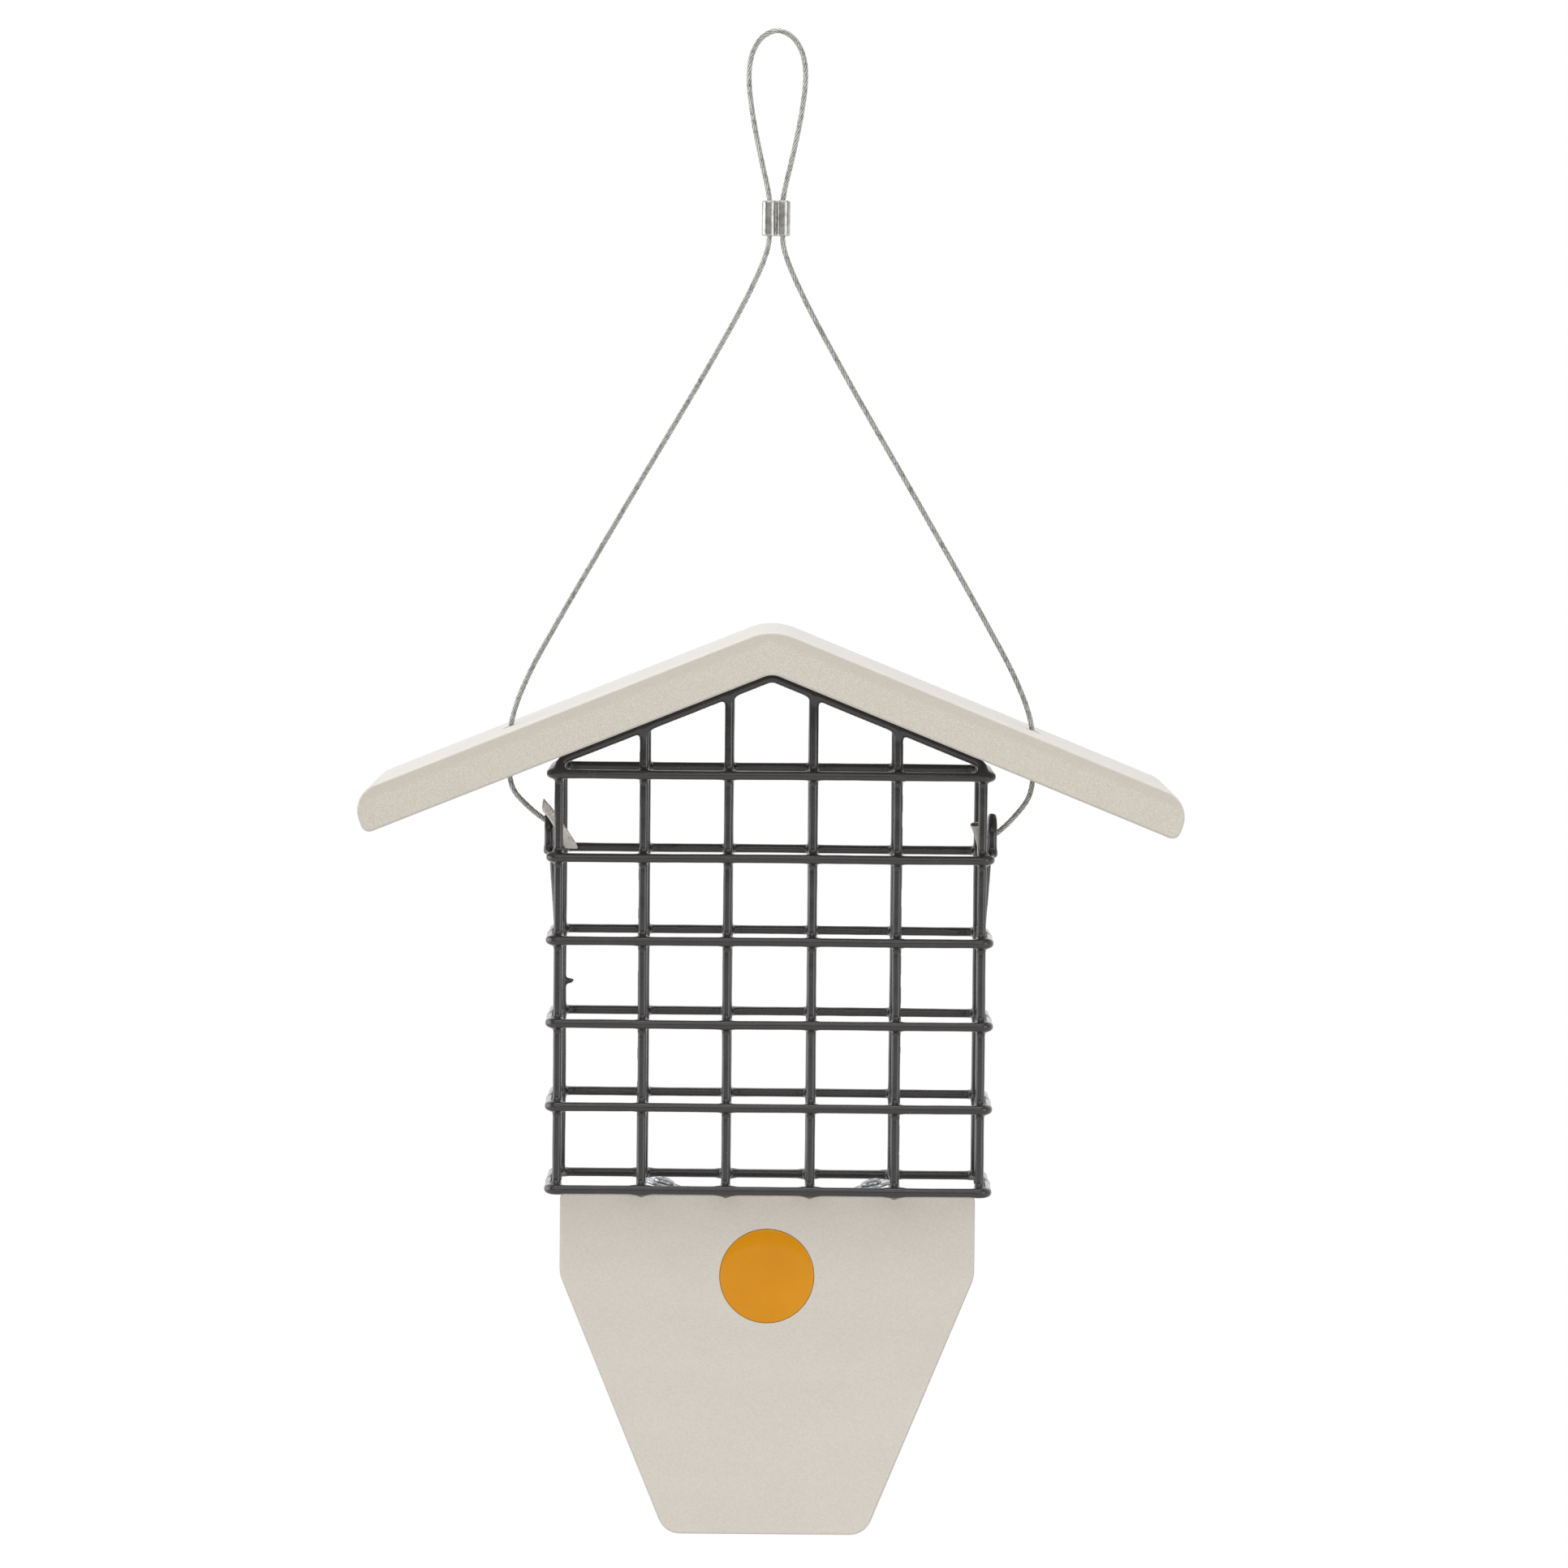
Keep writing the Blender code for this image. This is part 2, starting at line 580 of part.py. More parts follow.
def make_toggles(feeder):
    """Flat bars with their long side along their own Z, each turning about its middle."""
    size = (TOGGLE_WIDTH, TOGGLE_THICKNESS, TOGGLE_LENGTH)
    places = {
        "left_toggle": (
            Vector((LEFT_TOGGLE_INSET - RING_X, LEFT_TOGGLE_Y, EYE_RING_Z + LEFT_TOGGLE_RISE)),
            Matrix.Rotation(-LEFT_TOGGLE_LEAN, 4, "Y")),
        "right_toggle": (
            Vector((RING_X - RIGHT_TOGGLE_INSET, 0, EYE_RING_Z + RIGHT_TOGGLE_RISE)),
            Matrix.Rotation(-RIGHT_TOGGLE_SKEW, 4, "Z")
            @ Matrix.Rotation(math.pi / 2 - RIGHT_TOGGLE_TILT, 4, "X")),
    }
    for name, (place, turn) in places.items():
        toggle = block(feeder, name, size, (0, 0, 0))
        toggle.matrix_world = Matrix.Translation(place) @ turn
        ease = toggle.modifiers.new("Eased edges", "BEVEL")
        ease.width = TOGGLE_EDGE
        ease.segments = 2
        dress(toggle, name, TOGGLE_STEEL)


def shade_round_pieces(feeder):
    for thing in feeder.objects:
        if thing.type == "MESH" and thing.data.polygons:
            thing.data.shade_smooth()
            thing.data.set_sharp_from_angle(angle=math.radians(30))


def make_feeder():
    empty_scene()
    feeder = new_collection("suet_feeder")
    cutters = new_collection("cutters")
    make_rings(feeder)
    make_gable_frames(feeder)
    make_upright_wires(feeder)
    make_eyes_and_stays(feeder)
    make_roof(feeder, cutters)
    make_prop(feeder, cutters)
    make_badge(feeder)
    make_fixings(feeder)
    make_sleeve(feeder, cutters)
    make_loop(feeder)
    make_cable(feeder)
    make_toggles(feeder)
    shade_round_pieces(feeder)


make_feeder()
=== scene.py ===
"""A hanging suet feeder with a tail prop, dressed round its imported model.

Metres, +Z up, the front towards -Y. The origin is the inside top of the cable's loop.
"""
import math

import bmesh
import bpy
import numpy as np
from mathutils import Matrix, Vector, kdtree, noise


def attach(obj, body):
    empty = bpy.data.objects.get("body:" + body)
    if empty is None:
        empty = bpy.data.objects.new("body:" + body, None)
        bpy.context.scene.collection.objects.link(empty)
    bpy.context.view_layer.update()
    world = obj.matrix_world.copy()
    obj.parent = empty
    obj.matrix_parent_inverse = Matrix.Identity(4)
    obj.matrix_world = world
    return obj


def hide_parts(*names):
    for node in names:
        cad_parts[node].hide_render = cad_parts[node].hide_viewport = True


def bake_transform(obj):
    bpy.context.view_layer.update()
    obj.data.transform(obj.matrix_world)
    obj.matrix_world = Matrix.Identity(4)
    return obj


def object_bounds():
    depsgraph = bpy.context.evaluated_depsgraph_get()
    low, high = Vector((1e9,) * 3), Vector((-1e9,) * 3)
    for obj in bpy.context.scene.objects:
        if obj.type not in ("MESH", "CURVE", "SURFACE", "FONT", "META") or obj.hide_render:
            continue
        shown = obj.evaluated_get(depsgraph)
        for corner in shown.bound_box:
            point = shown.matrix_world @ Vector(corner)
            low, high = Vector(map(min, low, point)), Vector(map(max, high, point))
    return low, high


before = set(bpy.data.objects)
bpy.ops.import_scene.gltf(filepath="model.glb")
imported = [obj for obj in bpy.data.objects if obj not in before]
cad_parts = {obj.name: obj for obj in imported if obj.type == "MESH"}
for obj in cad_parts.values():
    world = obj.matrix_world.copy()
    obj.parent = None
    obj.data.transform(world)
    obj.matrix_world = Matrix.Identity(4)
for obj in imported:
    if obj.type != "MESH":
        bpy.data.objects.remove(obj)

cad_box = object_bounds()


# Camera
# The photograph was taken from the front with a long lens, level with the cable's legs
# and looking a little down at the cage. It leans half a degree to one side.
CAMERA_PLACE = Vector((-0.0012, -2.125, -0.1106))
CAMERA_AIM = Vector((0.0039, 0, -0.2263))
CAMERA_LENS = 161.4
CAMERA_ROLL = math.radians(0.51)
NEAREST = 0.1
FURTHEST = 30


def placed(name, data):
    """An object that shows this mesh, lamp or lens, put in the scene."""
    thing = bpy.data.objects.new(name, data)
    bpy.context.scene.collection.objects.link(thing)
    return thing


lens = bpy.data.cameras.new("front_camera")
lens.lens = CAMERA_LENS
lens.clip_start = NEAREST
lens.clip_end = FURTHEST
camera = placed("front_camera", lens)
camera.location = CAMERA_PLACE
level_view = (CAMERA_AIM - CAMERA_PLACE).to_track_quat("-Z", "Y").to_matrix()
camera.rotation_euler = (level_view @ Matrix.Rotation(CAMERA_ROLL, 3, "Z")).to_euler()
bpy.context.scene.camera = camera


# Sleeve
# A double ferrule of soft aluminium. The cable runs through both its barrels, and the
# crimping tool left them slightly wavy, with a dimpled valley between and rounded ends.
CABLE_SPREAD = 0.002
LOOP_DROP = 0.0503
SLEEVE_LENGTH = 0.0106
BARREL_DIAMETER = 0.0046
BARREL_BORE = 0.00185
VALLEY_HALF_WIDTH = 0.00016
DIMPLE_REACH = 0.0009
DIMPLE_DEPTH = 0.00003
DIMPLE_FINENESS = 2400
SLEEVE_END_RADIUS = 0.0006
SLEEVE_END_SHARES = (0, 0.04, 0.14, 0.3, 0.5, 0.75)
SLEEVE_EDGE_SHARE = 0.3
SLEEVE_WAVINESS = 0.00003
SLEEVE_WAVE_FINENESS = 650
SLEEVE_CREEP = 4 * SLEEVE_WAVINESS
SLEEVE_CREEP_FINENESS = 400
SLEEVE_CREEP_START = Vector((5, 5, 5))
SLEEVE_SIDES = 240
SLEEVE_ROWS = 84
BORE_SIDES = 24
SLEEVE_BOTTOM_Z = -LOOP_DROP - SLEEVE_LENGTH
SHARP_ANGLE = math.radians(38)
WIDE_FACE = 0.00002
ALUMINIUM = (192, 190, 186)
ALUMINIUM_DULL = (160, 158, 154)


def linear(colour):
    """A colour of 0 to 255 as the renderer wants it."""
    shares = [c / 255 for c in colour]
    return [c / 12.92 if c <= 0.04045 else ((c + 0.055) / 1.055) ** 2.4 for c in shares] + [1]


def new_material(name, colour, **finish):
    """A material with one shader, and plain values on its sockets."""
    material = bpy.data.materials.new(name)
    material.use_nodes = True
    shader = material.node_tree.nodes["Principled BSDF"]
    shader.inputs["Base Color"].default_value = linear(colour)
    for label, value in finish.items():
        shader.inputs[label.replace("_", " ")].default_value = value
    return material, material.node_tree, shader


def add_node(tree, kind, sockets=(), **settings):
    """A shader node, its sockets set to values or linked to other nodes' outputs."""
    made = tree.nodes.new("ShaderNode" + kind)
    for label, value in settings.items():
        setattr(made, label, value)
    for label, value in dict(sockets).items():
        if isinstance(value, bpy.types.NodeSocket):
            tree.links.new(value, made.inputs[label])
        else:
            made.inputs[label].default_value = value
    return made


def sum_of(tree, how, first, second=0.0):
    return add_node(tree, "Math", {0: first, 1: second}, operation=how).outputs[0]


def ramp(tree, value, start, end, low=0.0, high=1.0, how="LINEAR"):
    """A number that runs from start to end as the value runs from low to high."""
    return add_node(tree, "MapRange", {
        "Value": value, "From Min": low, "From Max": high, "To Min": start, "To Max": end},
        interpolation_type=how).outputs[0]


def blended(tree, mask, low, high):
    """A colour that runs from low to high with the mask."""
    sides = {0: mask}
    for place, colour in ((6, low), (7, high)):
        sides[place] = colour if isinstance(colour, bpy.types.NodeSocket) else linear(colour)
    return add_node(tree, "Mix", sides, data_type="RGBA").outputs[2]


def surfaced(tree, shader, colour, mask, smooth, rough):
    """Links a colour, and a roughness that runs from smooth to rough with the mask."""
    tree.links.new(colour, shader.inputs["Base Color"])
    tree.links.new(ramp(tree, mask, smooth, rough), shader.inputs["Roughness"])


def bumped(tree, shader, height, depth):
    raised = add_node(tree, "Bump", {"Distance": depth, "Height": height})
    tree.links.new(raised.outputs[0], shader.inputs["Normal"])


def new_group(name, **inputs):
    """A node group that puts out one mask: what it is given, its stretched place, its end."""
    group = bpy.data.node_groups.new(name, "ShaderNodeTree")
    for label, value in inputs.items():
        kind = "NodeSocketFloat" if isinstance(value, float) else "NodeSocketVector"
        group.interface.new_socket(label, in_out="INPUT", socket_type=kind).default_value = value
    group.interface.new_socket("Mask", in_out="OUTPUT", socket_type="NodeSocketFloat")
    given = group.nodes.new("NodeGroupInput").outputs
    place = add_node(group, "TexCoord").outputs["Object"]
    place = add_node(group, "VectorMath", {0: place, 1: given["Stretch"]},
                     operation="MULTIPLY").outputs[0]
    return group, given, place, group.nodes.new("NodeGroupOutput").inputs["Mask"]


def mottling_group():
    """Cloudy patches, which show where the cloud is between Low and High."""
    group, given, place, mask = new_group("Mottling", Scale=100.0, Stretch=(1, 1, 1), Low=0.35,
                                          High=0.65, Detail=4.0)
    cloud = add_node(group, "TexNoise", {"Vector": place, "Scale": given["Scale"],
                                         "Detail": given["Detail"], "Roughness": 0.6})
    shown = ramp(group, cloud.outputs["Fac"], 0.0, 1.0, given["Low"], given["High"])
    group.links.new(shown, mask)
    return group


def fleck_group():
    """Small separate spots, of which Share are shown."""
    group, given, place, mask = new_group("Flecks", Scale=1000.0, Stretch=(1, 1, 1), Share=0.3,
                                          Size=0.35)
    cells = add_node(group, "TexVoronoi", {"Vector": place, "Scale": given["Scale"]}).outputs
    spot = ramp(group, cells["Distance"], 1.0, 0.0, 0.0, given["Size"])
    chance = add_node(group, "SeparateColor", {0: cells["Color"]}).outputs[0]
    chosen = sum_of(group, "LESS_THAN", chance, given["Share"])
    group.links.new(sum_of(group, "MULTIPLY", spot, chosen), mask)
    return group


mottling = mottling_group()
flecks = fleck_group()


def patches(tree, group, **values):
    """One of the groups above, placed in a material with its own values."""
    sockets = {label.title(): value for label, value in values.items()}
    return add_node(tree, "Group", sockets, node_tree=group).outputs["Mask"]


def lofted(name, rings, closed=False):
    """A skin over rings of points that turn one way round their path."""
    count, rows = len(rings[0]), len(rings)
    faces = []
    for k in range(rows if closed else rows - 1):
        here, after = k * count, (k + 1) % rows * count
        faces += [(here + j, here + (j + 1) % count, after + (j + 1) % count, after + j)
                  for j in range(count)]
    if not closed:
        faces += [tuple(reversed(range(count))), tuple(range((rows - 1) * count, rows * count))]
    mesh = bpy.data.meshes.new(name)
    mesh.from_pydata([p for ring in rings for p in ring], [], faces)
    return mesh


def worked(mesh, kind, **settings):
    """The mesh after one modifier with these settings."""
    blank = placed("blank", mesh)
    step = blank.modifiers.new(kind.title(), kind)
    for label, value in settings.items():
        setattr(step, label, value)
    bpy.context.view_layer.update()
    ready = blank.evaluated_get(bpy.context.evaluated_depsgraph_get())
    made = bpy.data.meshes.new_from_object(ready)
    bpy.data.objects.remove(blank)
    return made


def eased(mesh, width, segments=3):
    """The mesh with its sharp edges rounded over."""
    return worked(mesh, "BEVEL", width=width, segments=segments, limit_method="ANGLE",
                  angle_limit=SHARP_ANGLE, miter_outer="MITER_ARC")


def cut(mesh, *tools):
    """The mesh with the tools' shapes taken out of it."""
    for tool in tools:
        cutter = placed("cutter", tool)
        mesh = worked(mesh, "BOOLEAN", operation="DIFFERENCE", object=cutter)
        bpy.data.objects.remove(cutter)
    return mesh


def circle(radius, count):
    """Points round a circle, anticlockwise about +Z."""
    turns = [2 * math.pi * k / count for k in range(count)]
    return [(radius * math.cos(t), radius * math.sin(t)) for t in turns]


def turned(name, profile, count):
    """A turned piece about +Z, from (radius, z) points that run up its outer side."""
    return lofted(name, [[(x * radius, y * radius, z) for x, y in circle(1, count)]
                         for radius, z in profile])


def drills(x, diameter, low, high, count=48):
    """A pair of upright rods, left and right, that cut a pair of holes."""
    pair = []
    for side in (-1, 1):
        drill = turned("drill", [(diameter / 2, low), (diameter / 2, high)], count)
        drill.transform(Matrix.Translation((side * x, 0, 0)))
        pair.append(drill)
    return pair


def dress(name, mesh, material, slot, *nodes):
    """Puts a piece in the scene in place of these CAD nodes."""
    thing = placed(name, mesh)
    mesh.materials.clear()
    mesh.materials.append(material)
    if not mesh.has_custom_normals:
        mesh.shade_smooth()
        mesh.set_sharp_from_angle(angle=SHARP_ANGLE)
    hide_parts(*nodes)
    return thing


def flat_shaded(mesh):
    """The mesh with its wide flat faces kept flat up to their rounded edges."""
    mesh.shade_smooth()
    mesh.set_sharp_from_angle(angle=SHARP_ANGLE)
    widest = {}
    for face in mesh.polygons:
        for spot in face.vertices:
            if spot not in widest or face.area > widest[spot].area:
                widest[spot] = face
    normals = [corner.vector.copy() for corner in mesh.corner_normals]
    for face in mesh.polygons:
        for corner, spot in zip(face.loop_indices, face.vertices):
            wide = widest[spot]
            if wide.area > WIDE_FACE and face.normal.angle(wide.normal, 0) < SHARP_ANGLE:
                normals[corner] = wide.normal.copy()
    mesh.normals_split_custom_set(normals)
    return mesh


def sleeve_ring(height):
    """The crimped section at a height: two barrels that meet in a dimpled valley."""
    from_end = min(height, SLEEVE_LENGTH - height, SLEEVE_END_RADIUS)
    short = SLEEVE_END_RADIUS - from_end
    inset = SLEEVE_END_RADIUS - math.sqrt(max(0, SLEEVE_END_RADIUS ** 2 - short ** 2))
    radius = BARREL_DIAMETER / 2 - inset * SLEEVE_EDGE_SHARE
    narrow = 1 - inset * (1 - SLEEVE_EDGE_SHARE) / (radius + CABLE_SPREAD)
    ring = []
    for k in range(SLEEVE_SIDES):
        turn = 2 * math.pi * k / SLEEVE_SIDES
        reach = abs(math.cos(turn)) * (radius + CABLE_SPREAD)
        within = max(0, 1 - reach / DIMPLE_REACH)
        from_middle = CABLE_SPREAD - max(reach, VALLEY_HALF_WIDTH)
        depth = math.sqrt(max(0, radius ** 2 - from_middle ** 2))
        place = Vector((math.copysign(reach * narrow, math.cos(turn)),
                        math.copysign(depth, math.sin(turn)), SLEEVE_BOTTOM_Z + height))
        pressed = DIMPLE_DEPTH * (1 + noise.noise(place * DIMPLE_FINENESS)) * within ** 0.5
        place.y -= math.copysign(pressed, place.y)
        wave = noise.noise(Vector((place.x, place.y, place.z / 2)) * SLEEVE_WAVE_FINENESS)
        place.xy -= place.xy.normalized() * (SLEEVE_WAVINESS + wave * SLEEVE_WAVINESS)
        creep = noise.noise(place * SLEEVE_CREEP_FINENESS + SLEEVE_CREEP_START)
        place.z += creep * SLEEVE_CREEP
        ring.append(place)
    return ring


def make_sleeve():
    ends = [SLEEVE_END_RADIUS * share for share in SLEEVE_END_SHARES]
    middle = np.linspace(SLEEVE_END_RADIUS, SLEEVE_LENGTH - SLEEVE_END_RADIUS, SLEEVE_ROWS)
    heights = [*ends, *middle, *(SLEEVE_LENGTH - end for end in reversed(ends))]
    body = lofted("sleeve_body", [sleeve_ring(float(height)) for height in heights])
    bores = drills(CABLE_SPREAD, BARREL_BORE, SLEEVE_BOTTOM_Z - SLEEVE_LENGTH, SLEEVE_LENGTH,
                   BORE_SIDES)
    material, tree, shader = new_material("crimped_aluminium", ALUMINIUM, Metallic=1.0)
    drag = patches(tree, mottling, scale=2600.0, stretch=(1, 1, 0.08), low=0.3, high=0.7)
    marks = patches(tree, flecks, scale=1500.0, stretch=(1, 1, 0.5), share=0.12, size=0.4)
    dull = patches(tree, mottling, scale=500.0, low=0.4, high=0.7)
    colour = blended(tree, dull, ALUMINIUM, ALUMINIUM_DULL)
    surfaced(tree, shader, colour, drag, smooth=0.2, rough=0.28)
    bumped(tree, shader, sum_of(tree, "SUBTRACT", drag, marks), depth=0.000008)
    thing = dress("crimped_sleeve", flat_shaded(cut(body, *bores)), material, "sleeve_metal",
                  "cable_sleeve")
    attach(thing, "cage")
    return thing


sleeve = make_sleeve()


# Toggles
# Short flattened steel tubes crimped on the cable's ends, too long to slip back through the
# eyes. Each has one open end and one pressed shut, and the left one's are cut on the slant.
COLUMN_PITCH = 0.0254
COLUMN_COUNT = 6
RING_PITCH = 0.025
CAGE_DROP = 0.2225
WIRE_DIAMETER = 0.0028
RING_GAP = 0.0003
SIDE_X = COLUMN_PITCH * (COLUMN_COUNT - 1) / 2
EYE_X = SIDE_X + WIRE_DIAMETER + RING_GAP
EYE_RING_Z = -CAGE_DROP - RING_PITCH
TOGGLE_WIDTH = 0.0033
TOGGLE_THICKNESS = 0.0016
TOGGLE_ROWS = 60
TOGGLE_SIDES = 48
LEFT_TOGGLE_INSET = 0.0027
LEFT_TOGGLE_RISE = 0.0085
LEFT_TOGGLE_Y = -0.0082
LEFT_TOGGLE_LEAN = math.radians(30)
LEFT_TOGGLE_ROLL = math.radians(14)
RIGHT_TOGGLE_INSET = 0.0038
RIGHT_TOGGLE_RISE = 0.0054
RIGHT_TOGGLE_TILT = math.radians(30)
RIGHT_TOGGLE_SKEW = math.radians(3.5)
TOGGLE_WALL = 0.0003
MOUTH_DEPTH = 0.003
MOUTH_NARROWING = 0.4
MOUTH_EASING = 0.00006
CRIMP_PITCH = 0.0012
CRIMP_DEPTH = 0.00006
# Each section is its height, half width, half thickness, squareness and sideways bend.
LEFT_SECTIONS = [
    (-0.0088, 0.0014, 0.00036, 4.0, 0.0), (-0.0086, 0.00166, 0.00048, 4.4, 0.0),
    (-0.0081, 0.0018, 0.00056, 4.6, 0.0), (-0.0065, 0.00186, 0.0006, 4.6, 0.0),
    (-0.0035, 0.00168, 0.0007, 4.0, 0.0), (0.0, 0.00148, 0.0008, 3.4, 0.0),
    (0.0035, 0.0014, 0.00082, 3.0, 0.0002), (0.0065, 0.00128, 0.00086, 2.6, 0.0006),
    (0.00925, 0.00112, 0.0009, 2.2, 0.001),
]
RIGHT_SECTIONS = [
    (-0.00925, 0.0004, 0.001, 3.0, -0.0001), (-0.009, 0.0006, 0.0012, 3.2, -0.0001),
    (-0.005, 0.00075, 0.0012, 3.4, -0.0004), (-0.001, 0.00115, 0.0011, 3.0, -0.0004),
    (0.003, 0.00138, 0.00095, 2.6, -0.0002), (0.0065, 0.00157, 0.00085, 2.2, 0.00015),
    (0.00925, 0.00185, 0.00085, 2.2, 0.0003),
]
# How far the mouth's cut and the foot's cut lean, as rises over runs.
LEFT_SLANTS = (1.4, 0.6)
RIGHT_SLANTS = (0.12, 0.0)
TOGGLE_STEEL = (200, 196, 188)
TOGGLE_STAIN = (146, 128, 112)


def toggle_ring(height, half_width, half_thickness, squareness, bend, slant):
    """A flattened section whose points lean with the slanting cut."""
    ring = []
    for x, y in circle(1, TOGGLE_SIDES):
        x = math.copysign(abs(x) ** (2 / squareness), x) * half_width
        y = math.copysign(abs(y) ** (2 / squareness), y) * half_thickness
        ring.append((x - bend, y, height + slant * (x - half_width)))
    return ring


def make_toggle(name, sections, slants, turn, place, material, node, body):
    """A toggle with its open end along +Z before it is turned and put in place."""
    mouth_slant, foot_slant = slants
    columns = list(zip(*sections))
    low, top = columns[0][0], columns[0][-1]
    rings = []
    for height in sorted({*columns[0], *np.linspace(low, top, TOGGLE_ROWS)}):
        width, thickness, squareness, bend = (
            float(np.interp(height, columns[0], column)) for column in columns[1:])
        pressed = max(0, math.cos(height / top * math.pi / 2))
        thickness -= CRIMP_DEPTH * pressed * math.cos(2 * math.pi * height / CRIMP_PITCH)
        slant = mouth_slant * max(0, height / top) ** 3 - foot_slant * max(0, height / low) ** 3
        rings.append(toggle_ring(height, width, thickness, squareness, bend, slant))
    _, width, thickness, squareness, bend = sections[-1]
    for sunk in (0.0, MOUTH_DEPTH / 2, MOUTH_DEPTH):
        narrow = 1 - MOUTH_NARROWING * sunk / MOUTH_DEPTH
        rings.append(toggle_ring(top - sunk, (width - TOGGLE_WALL) * narrow,
                                 (thickness - TOGGLE_WALL) * narrow, squareness, bend,
                                 mouth_slant * (1 - sunk / MOUTH_DEPTH)))
    mesh = eased(lofted(name, rings), MOUTH_EASING, segments=2)
    mesh.transform(Matrix.Translation(place) @ turn)
    thing = dress(name, mesh, material, "toggle_steel", node)
    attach(thing, body)
    return thing


def toggle_material():
    material, tree, shader = new_material("toggle_steel", TOGGLE_STEEL, Metallic=0.75)
    ribs = patches(tree, mottling, scale=2600.0, stretch=(1, 1, 0.3), low=0.3, high=0.7)
    stain = patches(tree, mottling, scale=420.0, low=0.54, high=0.74)
    colour = blended(tree, stain, TOGGLE_STEEL, TOGGLE_STAIN)
    surfaced(tree, shader, colour, ribs, smooth=0.36, rough=0.54)
    bumped(tree, shader, ribs, depth=0.00002)
    return material


toggle_finish = toggle_material()
left_toggle = make_toggle(
    "left_end_toggle", LEFT_SECTIONS, LEFT_SLANTS,
    Matrix.Rotation(-LEFT_TOGGLE_LEAN, 4, "Y") @ Matrix.Rotation(LEFT_TOGGLE_ROLL, 4, "Z"),
    Vector((LEFT_TOGGLE_INSET - EYE_X, LEFT_TOGGLE_Y, EYE_RING_Z + LEFT_TOGGLE_RISE)),
    toggle_finish, "left_toggle", "left_toggle_bar")
right_toggle = make_toggle(
    "right_end_toggle", RIGHT_SECTIONS, RIGHT_SLANTS,
    Matrix.Rotation(-RIGHT_TOGGLE_SKEW, 4, "Z")
    @ Matrix.Rotation(math.pi / 2 - RIGHT_TOGGLE_TILT, 4, "X"),
    Vector((EYE_X - RIGHT_TOGGLE_INSET, 0, EYE_RING_Z + RIGHT_TOGGLE_RISE)),
    toggle_finish, "right_toggle", "right_toggle_bar")


# Cable
# One stainless rope of six strands with a right-hand lay. It runs from a toggle in
# through an eye, up through the roof and the sleeve, round the loop and back down.
CABLE_DIAMETER = 0.0016
STRANDS = 6
STRAND_POINTS = 6
WIRES_ROUND = 26
ROPE_LAY = 0.0105
ROPE_STEP = 0.00045
CURVE_STEPS = 32
END_HIDDEN = 0.001
LOOP_HALF_WIDTH = 0.0085
ROOF_SLOPE = math.radians(22)
ROOF_THICKNESS = 0.0127
HOLE_X = 0.0793
GABLE_CORNER_RISE = 0.0038
LEFT_EYE_PASS_RISE = 0.009
RIGHT_EYE_PASS_RISE = 0.0058
CORNER_Z = -CAGE_DROP + GABLE_CORNER_RISE
APEX_Z = CORNER_Z + SIDE_X * math.tan(ROOF_SLOPE)
ROOF_APEX_Z = APEX_Z + (WIRE_DIAMETER / 2 + RING_GAP) / math.cos(ROOF_SLOPE)
HOLE_BOTTOM_Z = ROOF_APEX_Z - HOLE_X * math.tan(ROOF_SLOPE)
HOLE_MIDDLE_Z = HOLE_BOTTOM_Z + ROOF_THICKNESS / math.cos(ROOF_SLOPE) / 2
LEFT_TAIL_LENGTH = 0.0351
RIGHT_TAIL_LENGTH = 0.032
STRAND_RADIUS = 0.2 * CABLE_DIAMETER
STRAND_OUT = CABLE_DIAMETER / 2 - STRAND_RADIUS
# The rope's colour holds painted shade. It is darkened down the valleys between the strands and
# in fine lines between the wires, towards the dark valley colour.
VALLEY_SHADE_EDGE = (0.3, 0.5)
WIRE_SHADE_EDGE = (0.1, -1.0)
WIRE_SHADE = 0.55
STEEL_CREST = (214, 214, 209)
STEEL_VALLEY_SHADE = (92, 90, 84)
STEEL_TARNISH = (150, 148, 141)
# Shares of the runs that the cable follows: of the loop's half width and height, of the
# way from the sleeve to the roof's hole, and of the way from the eye up to that hole.
LOOP_SHARES = [(0.24, 0.0), (0.30, 0.06), (0.49, 0.2), (0.75, 0.4), (0.93, 0.58), (1.0, 0.71),
               (0.965, 0.81), (0.81, 0.895), (0.5, 0.965), (0.0, 1.0)]
LEG_SHARES = [(0.0, 0.0), (0.005, 0.02), (0.02, 0.045), (0.045, 0.075), (0.105, 0.137),
              (0.264, 0.28), (0.5435, 0.518), (0.818, 0.755), (0.921, 0.85), (0.974, 0.914),
              (0.994, 0.955), (1.0, 1.0)]
TAIL_SHARES = [(0.89, 0.64), (0.55, 0.32), (0.19, 0.08)]
LEFT_TURN_SHARES = [(-0.05, 0.07), (0.74, 0.37), (1.0, 0.72), (1.0, 1.0)]


def smooth_path(route):
    """Evenly spaced points on a smooth curve through the route's points."""
    route = [Vector(p) for p in route]
    ends = [route[0] * 2 - route[1], *route, route[-1] * 2 - route[-2]]
    fine = []
    for before, start, end, after in zip(ends, ends[1:], ends[2:], ends[3:]):
        roots = [math.sqrt((b - a).length) for a, b in
                 ((before, start), (start, end), (end, after))]
        leave = heading(before, start, end, roots[0], roots[1]) * roots[1]
        arrive = heading(start, end, after, roots[1], roots[2]) * roots[1]
        for k in range(CURVE_STEPS):
            t = k / CURVE_STEPS
            fine.append(start * (2 * t ** 3 - 3 * t ** 2 + 1) + leave * (t ** 3 - 2 * t ** 2 + t)
                        + end * (3 * t ** 2 - 2 * t ** 3) + arrive * (t ** 3 - t ** 2))
    fine.append(route[-1])
    return evenly(fine, ROPE_STEP)


def heading(before, here, after, gone, ahead):
    """A centripetal curve's direction at a point, from the roots of its chords."""
    return (here - before) / gone - (after - before) / (gone + ahead) + (after - here) / ahead


